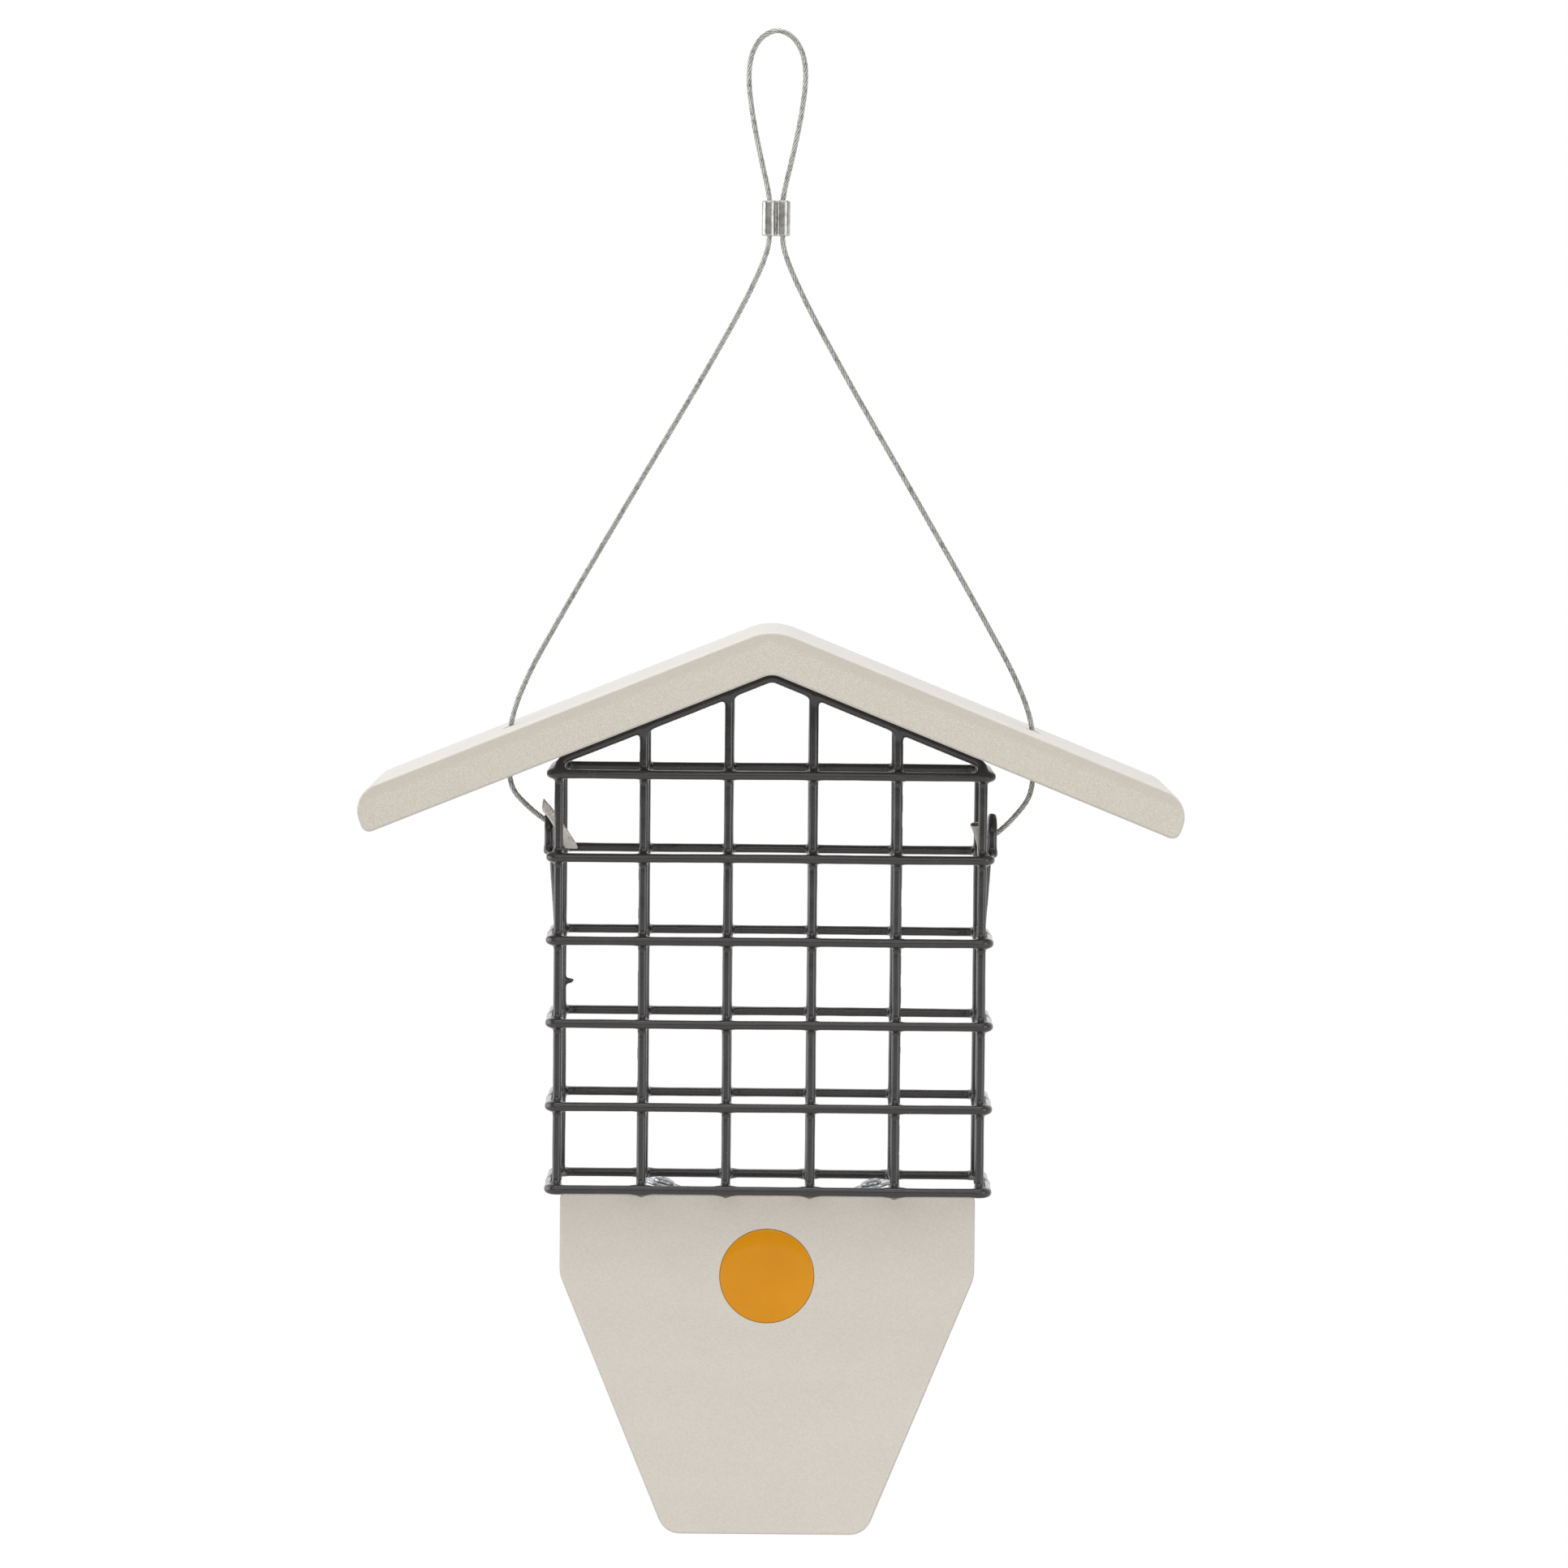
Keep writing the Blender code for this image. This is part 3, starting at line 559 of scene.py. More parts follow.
def evenly(points, step):
    """The line through the points, cut into equal steps."""
    lengths = np.cumsum([0.0] + [(b - a).length for a, b in zip(points, points[1:])])
    goals = np.linspace(0, lengths[-1], max(2, round(lengths[-1] / step)) + 1)
    columns = [np.interp(goals, lengths, [p[axis] for p in points]) for axis in range(3)]
    return [Vector(place) for place in zip(*columns)]


def round_path(path, across, ring_at, closed=False):
    """A ring of points at each place on the path, which doesn't twist about it."""
    rings, last = [], len(path) - 1
    for k, place in enumerate(path):
        before = path[k - 1] if closed or k else place
        after = path[(k + 1) % len(path)] if closed or k < last else place
        along = (after - before).normalized()
        across = (across - along * across.dot(along)).normalized()
        other = along.cross(across)
        rings.append([place + across * x + other * y for x, y in ring_at(k)])
    return rings


def strand_radius(turn):
    """How far the rope's outline is from its middle, this far round one strand."""
    return STRAND_OUT * math.cos(turn) + math.sqrt(
        STRAND_RADIUS ** 2 - (STRAND_OUT * math.sin(turn)) ** 2)


def rope(name, path):
    """A rope's mesh. Its map's first number is the way along, its second the way round."""
    count = STRANDS * STRAND_POINTS
    turns = [2 * math.pi * j / count for j in range(count)]
    pitch = 2 * math.pi / STRANDS
    radii = [strand_radius((t + pitch / 2) % pitch - pitch / 2) for t in turns]
    step = (path[1] - path[0]).length

    def section(k):
        lay = 2 * math.pi * k * step / ROPE_LAY
        return [(r * math.cos(t + lay), r * math.sin(t + lay)) for r, t in zip(radii, turns)]

    mesh = lofted(name, round_path(path, Vector((0, 1, 0)), section))
    layer = mesh.uv_layers.new(name="lay")
    spots = [(step * (k + a), (j + b) / count) for k in range(len(path) - 1)
             for j in range(count) for a, b in ((0, 0), (0, 1), (1, 1), (1, 0))]
    spots += [(0.0, 0.0)] * (2 * count)
    layer.uv.foreach_set("vector", np.array(spots, np.float32).ravel())
    return mesh


def rope_material():
    material, tree, shader = new_material("stainless_rope", STEEL_CREST, Metallic=1.0)
    lay = add_node(tree, "UVMap", uv_map="lay").outputs[0]
    along, around = add_node(tree, "SeparateXYZ", {0: lay}).outputs[:2]
    # Painted shade: darker down the valleys between the strands and in lines between the wires.
    valley = sum_of(tree, "PINGPONG", sum_of(tree, "MULTIPLY", around, STRANDS), 0.5)
    valley = ramp(tree, valley, 0.0, 1.0, *VALLEY_SHADE_EDGE, "SMOOTHSTEP")
    level = sum_of(tree, "ADD", around, sum_of(tree, "DIVIDE", along, ROPE_LAY))
    wires = sum_of(tree, "SINE", sum_of(tree, "MULTIPLY", level, WIRES_ROUND * 2 * math.pi))
    tarnish = patches(tree, mottling, scale=900.0, low=0.45, high=0.7)
    metal = blended(tree, tarnish, STEEL_CREST, STEEL_TARNISH)
    shade = sum_of(tree, "MAXIMUM", ramp(tree, wires, 0.0, WIRE_SHADE, *WIRE_SHADE_EDGE), valley)
    colour = blended(tree, shade, metal, STEEL_VALLEY_SHADE)
    surfaced(tree, shader, colour, tarnish, smooth=0.26, rough=0.42)
    bumped(tree, shader, wires, depth=0.00002)
    return material


def mirrored(points):
    return [Vector((-p.x, p.y, p.z)) for p in points]


def loop_route():
    low = -LOOP_DROP + RING_GAP
    height = CABLE_DIAMETER / 2 - low
    up = [Vector((-x * LOOP_HALF_WIDTH, 0, low + z * height)) for x, z in LOOP_SHARES]
    up.insert(0, Vector((-CABLE_SPREAD, 0, -LOOP_DROP - END_HIDDEN)))
    return up + mirrored(reversed(up[:-1]))


def leg_route():
    """The right leg, from inside the sleeve to the middle of the roof's hole."""
    high = SLEEVE_BOTTOM_Z - RING_GAP
    low = HOLE_MIDDLE_Z + RING_GAP / 2
    route = [Vector((CABLE_SPREAD + x * (HOLE_X - CABLE_SPREAD), 0, high + z * (low - high)))
             for x, z in LEG_SHARES]
    return [Vector((CABLE_SPREAD, 0, SLEEVE_BOTTOM_Z + END_HIDDEN)), *route]


def tail_route(pass_rise):
    """A right tail from the middle of the roof's hole down to the outside of the eye."""
    low = EYE_RING_Z + pass_rise
    return [Vector((HOLE_X, 0, HOLE_MIDDLE_Z - RING_GAP / 2)), Vector((HOLE_X, 0, HOLE_BOTTOM_Z)),
            *(Vector((EYE_X + x * (HOLE_X - EYE_X), 0, low + z * (HOLE_BOTTOM_Z - low)))
              for x, z in TAIL_SHARES)]


def right_tail_end():
    touch = TOGGLE_WIDTH / 2 + RING_GAP
    return [Vector((EYE_X, 0, EYE_RING_Z + RIGHT_EYE_PASS_RISE)),
            Vector((EYE_X - RIGHT_TOGGLE_INSET + touch, 0, EYE_RING_Z + RIGHT_TOGGLE_RISE))]


def left_tail_end():
    """Round the eye's front leg to the toggle, as if it were on the right."""
    end_y = LEFT_TOGGLE_Y + TOGGLE_THICKNESS / 2 + RING_GAP
    low = EYE_RING_Z + LEFT_EYE_PASS_RISE
    rise = LEFT_TOGGLE_RISE - LEFT_EYE_PASS_RISE
    return [Vector((EYE_X - x * LEFT_TOGGLE_INSET, y * end_y, low + y * rise))
            for x, y in LEFT_TURN_SHARES]


rope_finish = rope_material()
loop_path = smooth_path(loop_route())
loop = dress("rope_loop", rope("rope_loop", loop_path), rope_finish, "cable_steel", "cable_loop")
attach(loop, "cage")

right_leg = leg_route()
left_tail = mirrored(tail_route(LEFT_EYE_PASS_RISE) + left_tail_end())
right_tail = tail_route(RIGHT_EYE_PASS_RISE) + right_tail_end()
for side, leg, tail, tail_length, pass_rise, toggle in (
        ("left", mirrored(right_leg), left_tail, LEFT_TAIL_LENGTH, LEFT_EYE_PASS_RISE,
         left_toggle),
        ("right", right_leg, right_tail, RIGHT_TAIL_LENGTH, RIGHT_EYE_PASS_RISE,
         right_toggle)):
    leg_path, tail_path = smooth_path(leg), smooth_path(tail)
    piece = dress(f"{side}_rope_leg", rope(f"{side}_rope_leg", leg_path), rope_finish,
                  "cable_steel", f"{side}_cable_leg")
    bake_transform(piece)
    piece = dress(f"{side}_rope_tail", rope(f"{side}_rope_tail", tail_path), rope_finish,
                  "cable_steel", f"{side}_cable_tail")
    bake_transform(piece)


# Cage
# Welded steel wires, dipped as one cage in glossy black vinyl. The coating fills the
# corners of each crossing, bulges over the welds and ran into one drip at the back.
CAGE_DEPTH = 0.044
RING_COUNT = 6
UPRIGHT_Y = CAGE_DEPTH / 2
WELD_OFFSET = 0.0024
RING_CORNER_RADIUS = 0.0026
RUN_DROP = 0.0015
RUN_CORNER_RADIUS = 0.003
GABLE_CORNER_RADIUS = 0.004
GABLE_APEX_RADIUS = 0.0043
EYE_WIDTH = 0.007
EYE_HEIGHT = 0.013
EYE_OUT = 0.0004
STAY_TOP_OUT = 0.0022
STAY_OUT = 0.0006
STAY_LEAN_SHARE = 0.9
WIRE_SIDES = 18
WIRE_STEP = 0.0012
WELD_FLARE = 0.00042
WELD_REACH = 0.0034
FILLET_REACH = 1.25 * WELD_REACH
WELD_BLOB_RADIUS = 0.00165
BUMP_HALF_WIDTH = 0.0008
BUMP_DROP = 0.0005
GABLE_FILL_INSET = 0.0004
GABLE_FILL_RISE = 0.0019
COAT_UNEVENNESS = 0.035
UNEVEN_FINENESS = 160
COAT_VOXEL = 0.0005
COAT_ROUNDS = 12
COAT_DRAW = 0.5
COAT_SPRING_BACK = 0.52
WARP = 0.00014
WARP_FINENESS = 22
DRIP_PLACE = Vector((-0.0616, 0.022, -0.2885))
DRIP_RADIUS = 0.0009
DRIP_STRETCH = 2.0
DRIP_TILT = math.radians(-12)
COAT_BLACK = (38, 35, 35)
COAT_WORN = (50, 47, 47)
COAT_DUST = (108, 104, 100)
DUST_RISE = 0.5
BOTTOM_RING_Z = -CAGE_DROP - RING_PITCH * (RING_COUNT - 1)
RUN_Z = BOTTOM_RING_Z - RUN_DROP
RING_X = SIDE_X + WELD_OFFSET
RING_Y = UPRIGHT_Y + WELD_OFFSET
EYE_LEG_Y = (EYE_WIDTH + WIRE_DIAMETER) / 2
ARC_STEP = math.radians(6)


def rounded_path(corners, closed=False):
    """Points along straight runs between corners, each (place, radius), with arcs at them."""
    points = []
    for i, (place, radius) in enumerate(corners):
        place = Vector(place)
        if not radius or not closed and i in (0, len(corners) - 1):
            points.append(place)
            continue
        arrive = (place - Vector(corners[i - 1][0])).normalized()
        leave = (Vector(corners[(i + 1) % len(corners)][0]) - place).normalized()
        turn = arrive.angle(leave)
        inward = (leave - arrive * leave.dot(arrive)).normalized()
        centre = place - arrive * radius * math.tan(turn / 2) + inward * radius
        steps = max(2, math.ceil(turn / ARC_STEP))
        for k in range(steps + 1):
            angle = turn * k / steps
            points.append(centre - inward * radius * math.cos(angle)
                          + arrive * radius * math.sin(angle))
    return points


def gable_z(x):
    """The gable's height above a place across the cage."""
    return APEX_Z - abs(x) * math.tan(ROOF_SLOPE)


def ring_corners():
    for i in range(RING_COUNT):
        z = -CAGE_DROP - RING_PITCH * i
        yield [((x * RING_X, y * RING_Y, z), RING_CORNER_RADIUS)
               for x, y in ((-1, -1), (1, -1), (1, 1), (-1, 1))], (0, 0, 1), True


def gable_frame_corners():
    for y in (-UPRIGHT_Y, UPRIGHT_Y):
        yield [
            ((-SIDE_X, y, BOTTOM_RING_Z), 0),
            ((-SIDE_X, y, CORNER_Z), GABLE_CORNER_RADIUS),
            ((0, y, APEX_Z), GABLE_APEX_RADIUS),
            ((SIDE_X, y, CORNER_Z), GABLE_CORNER_RADIUS),
            ((SIDE_X, y, BOTTOM_RING_Z), 0),
        ], (0, 1, 0), False


def upright_corners():
    """The inner wires: down from one gable, across under the cage and up to the other."""
    for i in range(1, COLUMN_COUNT - 1):
        x = COLUMN_PITCH * i - SIDE_X
        yield [
            ((x, -UPRIGHT_Y, gable_z(x)), 0),
            ((x, -UPRIGHT_Y, RUN_Z), RUN_CORNER_RADIUS),
            ((x, UPRIGHT_Y, RUN_Z), RUN_CORNER_RADIUS),
            ((x, UPRIGHT_Y, gable_z(x)), 0),
        ], (1, 0, 0), False


def eye_and_stay_corners():
    crown_z = EYE_RING_Z + EYE_HEIGHT - WIRE_DIAMETER / 2
    lean_z = EYE_RING_Z - RING_PITCH * STAY_LEAN_SHARE
    crown_radius = EYE_LEG_Y - RING_GAP
    for side in (-1, 1):
        x = side * (EYE_X + EYE_OUT)
        yield [
            ((x, -EYE_LEG_Y, EYE_RING_Z), 0), ((x, -EYE_LEG_Y, crown_z), crown_radius),
            ((x, EYE_LEG_Y, crown_z), crown_radius), ((x, EYE_LEG_Y, EYE_RING_Z), 0),
        ], (1, 0, 0), False
        x = side * (SIDE_X + STAY_OUT)
        yield [
            ((side * (SIDE_X + STAY_TOP_OUT), 0, EYE_RING_Z), 0),
            ((x, 0, lean_z), RING_PITCH / 2), ((x, 0, BOTTOM_RING_Z), 0),
        ], (0, 1, 0), False


def weld_places():
    """The middle of each crossing, where the coating gathers."""
    rings = [-CAGE_DROP - RING_PITCH * i for i in range(RING_COUNT)]
    columns = [COLUMN_PITCH * i - SIDE_X for i in range(COLUMN_COUNT)]
    middle_y = (UPRIGHT_Y + RING_Y) / 2
    welds = [Vector((x, y, z)) for x in columns for y in (-middle_y, middle_y) for z in rings]
    for x in columns[1:-1]:
        for front in (-1, 1):
            welds.append(Vector((x, front * UPRIGHT_Y, gable_z(x))))
            welds += [Vector((x + side * BUMP_HALF_WIDTH, front * (RING_Y - RING_GAP),
                              BOTTOM_RING_Z - BUMP_DROP)) for side in (-1, 1)]
    for side in (-1, 1):
        welds += [Vector((side * (SIDE_X - GABLE_FILL_INSET), y, GABLE_FILL_RISE - CAGE_DROP))
                  for y in (-middle_y, middle_y)]
        welds += [Vector((side * (SIDE_X + RING_X) / 2, 0, z)) for z in rings[2:]]
        welds += [Vector((side * (RING_X + EYE_X) / 2, y, EYE_RING_Z))
                  for y in (-EYE_LEG_Y, 0, EYE_LEG_Y)]
    return welds


def drip():
    """A run of coating that set as a blunt point on the side of a back upright."""
    shape = bmesh.new()
    bmesh.ops.create_icosphere(shape, subdivisions=3, radius=DRIP_RADIUS)
    for spot in shape.verts:
        spot.co.x *= DRIP_STRETCH if spot.co.x > 0 else 1.0
    bmesh.ops.rotate(shape, verts=shape.verts, matrix=Matrix.Rotation(DRIP_TILT, 3, "Y"))
    bmesh.ops.translate(shape, verts=shape.verts, vec=DRIP_PLACE)
    return shape


def wires_mesh(welds):
    """All the wires as separate tubes, thicker towards their welds, with a blob at each."""
    near = kdtree.KDTree(len(welds))
    for i, place in enumerate(welds):
        near.insert(place, i)
    near.balance()
    shape = drip()
    for corners, across, closed in (*ring_corners(), *gable_frame_corners(),
                                    *upright_corners(), *eye_and_stay_corners()):
        path = rounded_path(corners, closed)
        path = evenly(path + path[:1], WIRE_STEP)[:-1] if closed else evenly(path, WIRE_STEP)
        radii = []
        for place in path:
            close = max(0, 1 - near.find(place)[2] / WELD_REACH)
            uneven = 1 + COAT_UNEVENNESS * noise.noise(place * UNEVEN_FINENESS)
            radii.append(WIRE_DIAMETER / 2 * uneven
                         + WELD_FLARE * close * close * (3 - 2 * close))
        rings = round_path(path, Vector(across), lambda k: circle(radii[k], WIRE_SIDES),
                           closed)
        mesh = lofted("wire", rings, closed)
        shape.from_mesh(mesh)
        bpy.data.meshes.remove(mesh)
    for place in welds:
        bmesh.ops.create_icosphere(shape, subdivisions=2, radius=WELD_BLOB_RADIUS,
                                   matrix=Matrix.Translation(place))
    mesh = bpy.data.meshes.new("dipped_cage")
    shape.to_mesh(mesh)
    shape.free()
    return mesh, near


def averaged(spots, edges, count):
    """Each point's neighbours' mean place."""
    ends = np.concatenate([edges[:, 0], edges[:, 1]])
    others = np.concatenate([edges[:, 1], edges[:, 0]])
    return np.stack([np.bincount(ends, spots[others, axis], len(spots)) / count
                     for axis in range(3)], 1)


def flow_coat(mesh, near):
    """Draws the coating smooth: lightly along the wires, and into fillets at the welds."""
    spots = np.array([spot.co for spot in mesh.vertices], float)
    edges = np.array([edge.vertices for edge in mesh.edges])
    count = np.maximum(np.bincount(edges.ravel(), minlength=len(spots)), 1)
    close = np.array([max(0, 1 - near.find(s)[2] / FILLET_REACH) for s in spots])
    fillet = (close * close * (3 - 2 * close))[:, None]
    for _ in range(COAT_ROUNDS):
        spots += (averaged(spots, edges, count) - spots) * COAT_DRAW
        spots -= (averaged(spots, edges, count) - spots) * (COAT_SPRING_BACK * (1 - fillet))
    for k, spot in enumerate(spots):
        spots[k] += np.array(noise.noise_vector(Vector(spot) * WARP_FINENESS)) * WARP
    mesh.vertices.foreach_set("co", spots.ravel())
    mesh.update()


def coat_material():
    material, tree, shader = new_material("dipped_vinyl", COAT_BLACK, Coat_Weight=0.45,
                                          Coat_Roughness=0.13)
    peel = patches(tree, mottling, scale=300.0, low=0.2, high=0.8, detail=1.0)
    rub = patches(tree, mottling, scale=130.0, low=0.52, high=0.8)
    dust = patches(tree, flecks, scale=800.0, share=0.012, size=0.2)
    colour = blended(tree, rub, COAT_BLACK, COAT_WORN)
    surfaced(tree, shader, blended(tree, dust, colour, COAT_DUST), rub, smooth=0.2, rough=0.35)
    raised_dust = sum_of(tree, "MULTIPLY", dust, DUST_RISE)
    bumped(tree, shader, sum_of(tree, "ADD", peel, raised_dust), depth=0.00003)
    return material


def make_cage():
    tubes, near = wires_mesh(weld_places())
    coat = worked(tubes, "REMESH", mode="VOXEL", voxel_size=COAT_VOXEL)
    flow_coat(coat, near)
    nodes = [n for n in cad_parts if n.startswith(("ring_wire", "upright_wire"))
             or n.endswith(("gable_frame", "cable_eye", "side_stay"))]
    thing = dress("dipped_cage", coat, coat_material(), "coated_wire", *nodes)
    thing.data.shade_smooth()
    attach(thing, "cage")


make_cage()


# Roof board
# Recycled plastic board, bent warm at the ridge and sawn square at the front and back.
# The sawn face shows paler flecks down its foamed core, and the skin is smoother.
ROOF_DEPTH = 0.089
WING_LENGTH = 0.130
WING_TOP_RADIUS = 0.0085
WING_BOTTOM_RADIUS = 0.0025
HOLE_DIAMETER = 0.0045
BOARD_EASING = 0.0007
ROOF_ROLLED = (206, 203, 199)
BOARD_SAWN = (193, 187, 175)
BOARD_PALE = (224, 219, 211)
BOARD_SHADE = (184, 176, 165)
BOARD_FLECK = (232, 229, 222)
BOARD_CLOUD_SHARE = 0.12
# How much the grain shows on the skin and in the sawn core.
GRAIN_SHARES = (0.22, 0.5)
SAWN_FACING = (0.55, 0.9)
CORE_EDGE = (1.3, 1.6)
ROOF_GRAIN = (1, 0.35, 1)


def board_material(name, skin, front_is_sawn, stretch, depth_into):
    """Recycled plastic: a smooth rolled skin, and sawn edges with flecks down their core."""
    material, tree, shader = new_material(name, skin, Specular_IOR_Level=0.35)
    lies = add_node(tree, "TexCoord").outputs
    axes = add_node(tree, "SeparateXYZ", {0: lies["Object"]}).outputs
    facing = add_node(tree, "SeparateXYZ", {0: lies["Normal"]}).outputs[1]
    sides = (0.0, 1.0) if front_is_sawn else (1.0, 0.0)
    sawn = ramp(tree, sum_of(tree, "ABSOLUTE", facing), *sides, *SAWN_FACING)
    core = ramp(tree, depth_into(tree, axes), 1.0, 0.0, *CORE_EDGE, "SMOOTHSTEP")
    cloud = patches(tree, mottling, scale=70.0, stretch=stretch, low=0.35, high=0.65)
    grain = patches(tree, mottling, scale=2900.0, stretch=stretch, low=0.3, high=0.7,
                    detail=1.5)
    pale = patches(tree, flecks, scale=3300.0, stretch=stretch, share=0.35, size=0.7)
    colour = blended(tree, sawn, skin, BOARD_SAWN)
    colour = blended(tree, ramp(tree, cloud, 0.0, BOARD_CLOUD_SHARE), colour, BOARD_SHADE)
    swing = blended(tree, grain, BOARD_SHADE, BOARD_PALE)
    amount = ramp(tree, sum_of(tree, "MULTIPLY", sawn, core), *GRAIN_SHARES)
    colour = blended(tree, amount, colour, swing)
    colour = blended(tree, sum_of(tree, "MULTIPLY", pale, amount), colour, BOARD_FLECK)
    surfaced(tree, shader, colour, grain, smooth=0.5, rough=0.66)
    bumped(tree, shader, grain, depth=0.00001)
    return material


def slab(name, corners, thickness):
    """A board upright across Y, from (x, z, radius) corners, with its edges eased."""
    points = rounded_path([((x, 0, z), radius) for x, z, radius in corners], closed=True)
    mesh = lofted(name, [[(p.x, y, p.z) for p in points]
                         for y in (-thickness / 2, thickness / 2)])
    shape = bmesh.new()
    shape.from_mesh(mesh)
    bmesh.ops.recalc_face_normals(shape, faces=shape.faces)
    shape.to_mesh(mesh)
    shape.free()
    return eased(mesh, BOARD_EASING)


def into_roof(tree, axes):
    """0 at the roof's underside and 2 at its top, on both wings."""
    sunk = sum_of(tree, "MULTIPLY", sum_of(tree, "ABSOLUTE", axes[0]), math.sin(ROOF_SLOPE))
    height = sum_of(tree, "MULTIPLY", sum_of(tree, "SUBTRACT", axes[2], ROOF_APEX_Z),
                    math.cos(ROOF_SLOPE))
    return sum_of(tree, "DIVIDE", sum_of(tree, "ADD", sunk, height), ROOF_THICKNESS / 2)


def make_roof():
    along = Vector((math.cos(ROOF_SLOPE), -math.sin(ROOF_SLOPE)))
    across = Vector((math.sin(ROOF_SLOPE), math.cos(ROOF_SLOPE)))
    low = Vector((0, ROOF_APEX_Z)) + along * WING_LENGTH
    high = low + across * ROOF_THICKNESS
    inner_radius = GABLE_APEX_RADIUS + WIRE_DIAMETER / 2 + RING_GAP
    ridge_z = ROOF_APEX_Z + ROOF_THICKNESS / math.cos(ROOF_SLOPE)
    board = slab("bent_roof", [
        (0, ROOF_APEX_Z, inner_radius),
        (low.x, low.y, WING_BOTTOM_RADIUS),
        (high.x, high.y, WING_TOP_RADIUS),
        (0, ridge_z, inner_radius + ROOF_THICKNESS),
        (-high.x, high.y, WING_TOP_RADIUS),
        (-low.x, low.y, WING_BOTTOM_RADIUS),
    ], ROOF_DEPTH)
    holes = drills(HOLE_X, HOLE_DIAMETER, HOLE_BOTTOM_Z - ROOF_THICKNESS,
                   HOLE_BOTTOM_Z + 2 * ROOF_THICKNESS)
    thing = dress("bent_roof", flat_shaded(cut(board, *holes)),
                  board_material("roof_plastic", ROOF_ROLLED, True, ROOF_GRAIN, into_roof),
                  "recycled_board", "roof_board")
    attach(thing, "roof")


make_roof()


# Tail prop
# The same board, cut to a tapered tail and hung under the cage. Its face is the rolled
# skin, with faint streaks across, and a shallow round pocket holds the badge.
PROP_THICKNESS = 0.0127
PROP_WIDTH = 0.1257
PROP_HEIGHT = 0.1035
PROP_BOTTOM_WIDTH = 0.0608
PROP_SHOULDER_DROP = 0.0246
PROP_TOP_RADIUS = 0.0015
PROP_SHOULDER_RADIUS = 0.010
PROP_BOTTOM_RADIUS = 0.007
BADGE_DIAMETER = 0.0285
BADGE_THICKNESS = 0.002
BADGE_DROP = 0.0246
POCKET_GAP = 0.00014
SCREW_X = 0.0315
SHANK_DIAMETER = 0.0036
SHANK_LENGTH = 0.025
BADGE_SIDES = 128
PROP_ROLLED = (211, 204, 194)
PROP_GRAIN = (0.55, 1, 1)
PROP_TOP_Z = RUN_Z - WIRE_DIAMETER / 2 - RING_GAP
BADGE_Z = PROP_TOP_Z - BADGE_DROP


def into_prop(tree, axes):
    """0 at the prop's front and 2 at its back."""
    return sum_of(tree, "DIVIDE", sum_of(tree, "ADD", axes[1], PROP_THICKNESS / 2),
                  PROP_THICKNESS / 2)


def make_prop():
    shoulder_z = PROP_TOP_Z - PROP_SHOULDER_DROP
    right = [
        (PROP_BOTTOM_WIDTH / 2, PROP_TOP_Z - PROP_HEIGHT, PROP_BOTTOM_RADIUS),
        (PROP_WIDTH / 2, shoulder_z, PROP_SHOULDER_RADIUS),
        (PROP_WIDTH / 2, PROP_TOP_Z, PROP_TOP_RADIUS),
    ]
    board = slab("tapered_prop", right + [(-x, z, radius) for x, z, radius in reversed(right)],
                 PROP_THICKNESS)
    floor_y = -PROP_THICKNESS / 2 + BADGE_THICKNESS + RING_GAP
    pocket = turned("pocket", [(BADGE_DIAMETER / 2 + POCKET_GAP, -floor_y),
                               (BADGE_DIAMETER / 2 + POCKET_GAP, PROP_THICKNESS)],
                    BADGE_SIDES)
    pocket.transform(Matrix.Translation((0, 0, BADGE_Z)) @ Matrix.Rotation(math.pi / 2, 4, "X"))
    holes = drills(SCREW_X, SHANK_DIAMETER + 2 * RING_GAP, PROP_TOP_Z - SHANK_LENGTH, RUN_Z)
    thing = dress("tapered_prop", flat_shaded(cut(board, pocket, *holes)),
                  board_material("prop_plastic", PROP_ROLLED, False, PROP_GRAIN, into_prop),
                  "recycled_board", "tail_prop")
    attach(thing, "cage")


make_prop()


# Badge
# A printed disc under a clear domed resin, pressed into the prop's pocket. Its face is one
# bare orange, a little uneven where the ink lies thicker.
BADGE_DOME = 0.0006
BADGE_RIM = 0.0003
DOME_ROWS = 14
DOME_MIDDLE_SHARE = 0.025
BADGE_ORANGE = (218, 145, 8)
BADGE_DEEP = (207, 134, 6)
INK_SHARE = 0.5
DOT_SHARE = 0.25


def make_badge():
    radius = BADGE_DIAMETER / 2
    crown = [(radius * math.cos(t), BADGE_DOME * math.sin(t))
             for t in (math.pi / 2 * k / DOME_ROWS for k in range(DOME_ROWS))]
    profile = [(radius - BADGE_RIM, -BADGE_THICKNESS), (radius, BADGE_RIM - BADGE_THICKNESS),
               (radius, -BADGE_RIM), *crown, (radius * DOME_MIDDLE_SHARE, BADGE_DOME)]
    mesh = turned("domed_badge", profile, BADGE_SIDES)
    mesh.transform(Matrix.Translation((0, -PROP_THICKNESS / 2, BADGE_Z))
                   @ Matrix.Rotation(math.pi / 2, 4, "X"))
    material, tree, shader = new_material("domed_print", BADGE_ORANGE, Coat_Weight=0.35,
                                          Coat_Roughness=0.03, Specular_IOR_Level=0.1)
    ink = patches(tree, mottling, scale=90.0, low=0.35, high=0.65)
    dots = patches(tree, mottling, scale=2500.0, low=0.3, high=0.7)
    colour = blended(tree, sum_of(tree, "MULTIPLY", ink, INK_SHARE), BADGE_ORANGE, BADGE_DEEP)
    colour = blended(tree, sum_of(tree, "MULTIPLY", dots, DOT_SHARE), colour, BADGE_DEEP)
    surfaced(tree, shader, colour, ink, smooth=0.2, rough=0.32)
    bumped(tree, shader, ink, depth=0.00003)
    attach(dress("domed_badge", mesh, material, "orange_disc", "badge"), "cage")


make_badge()


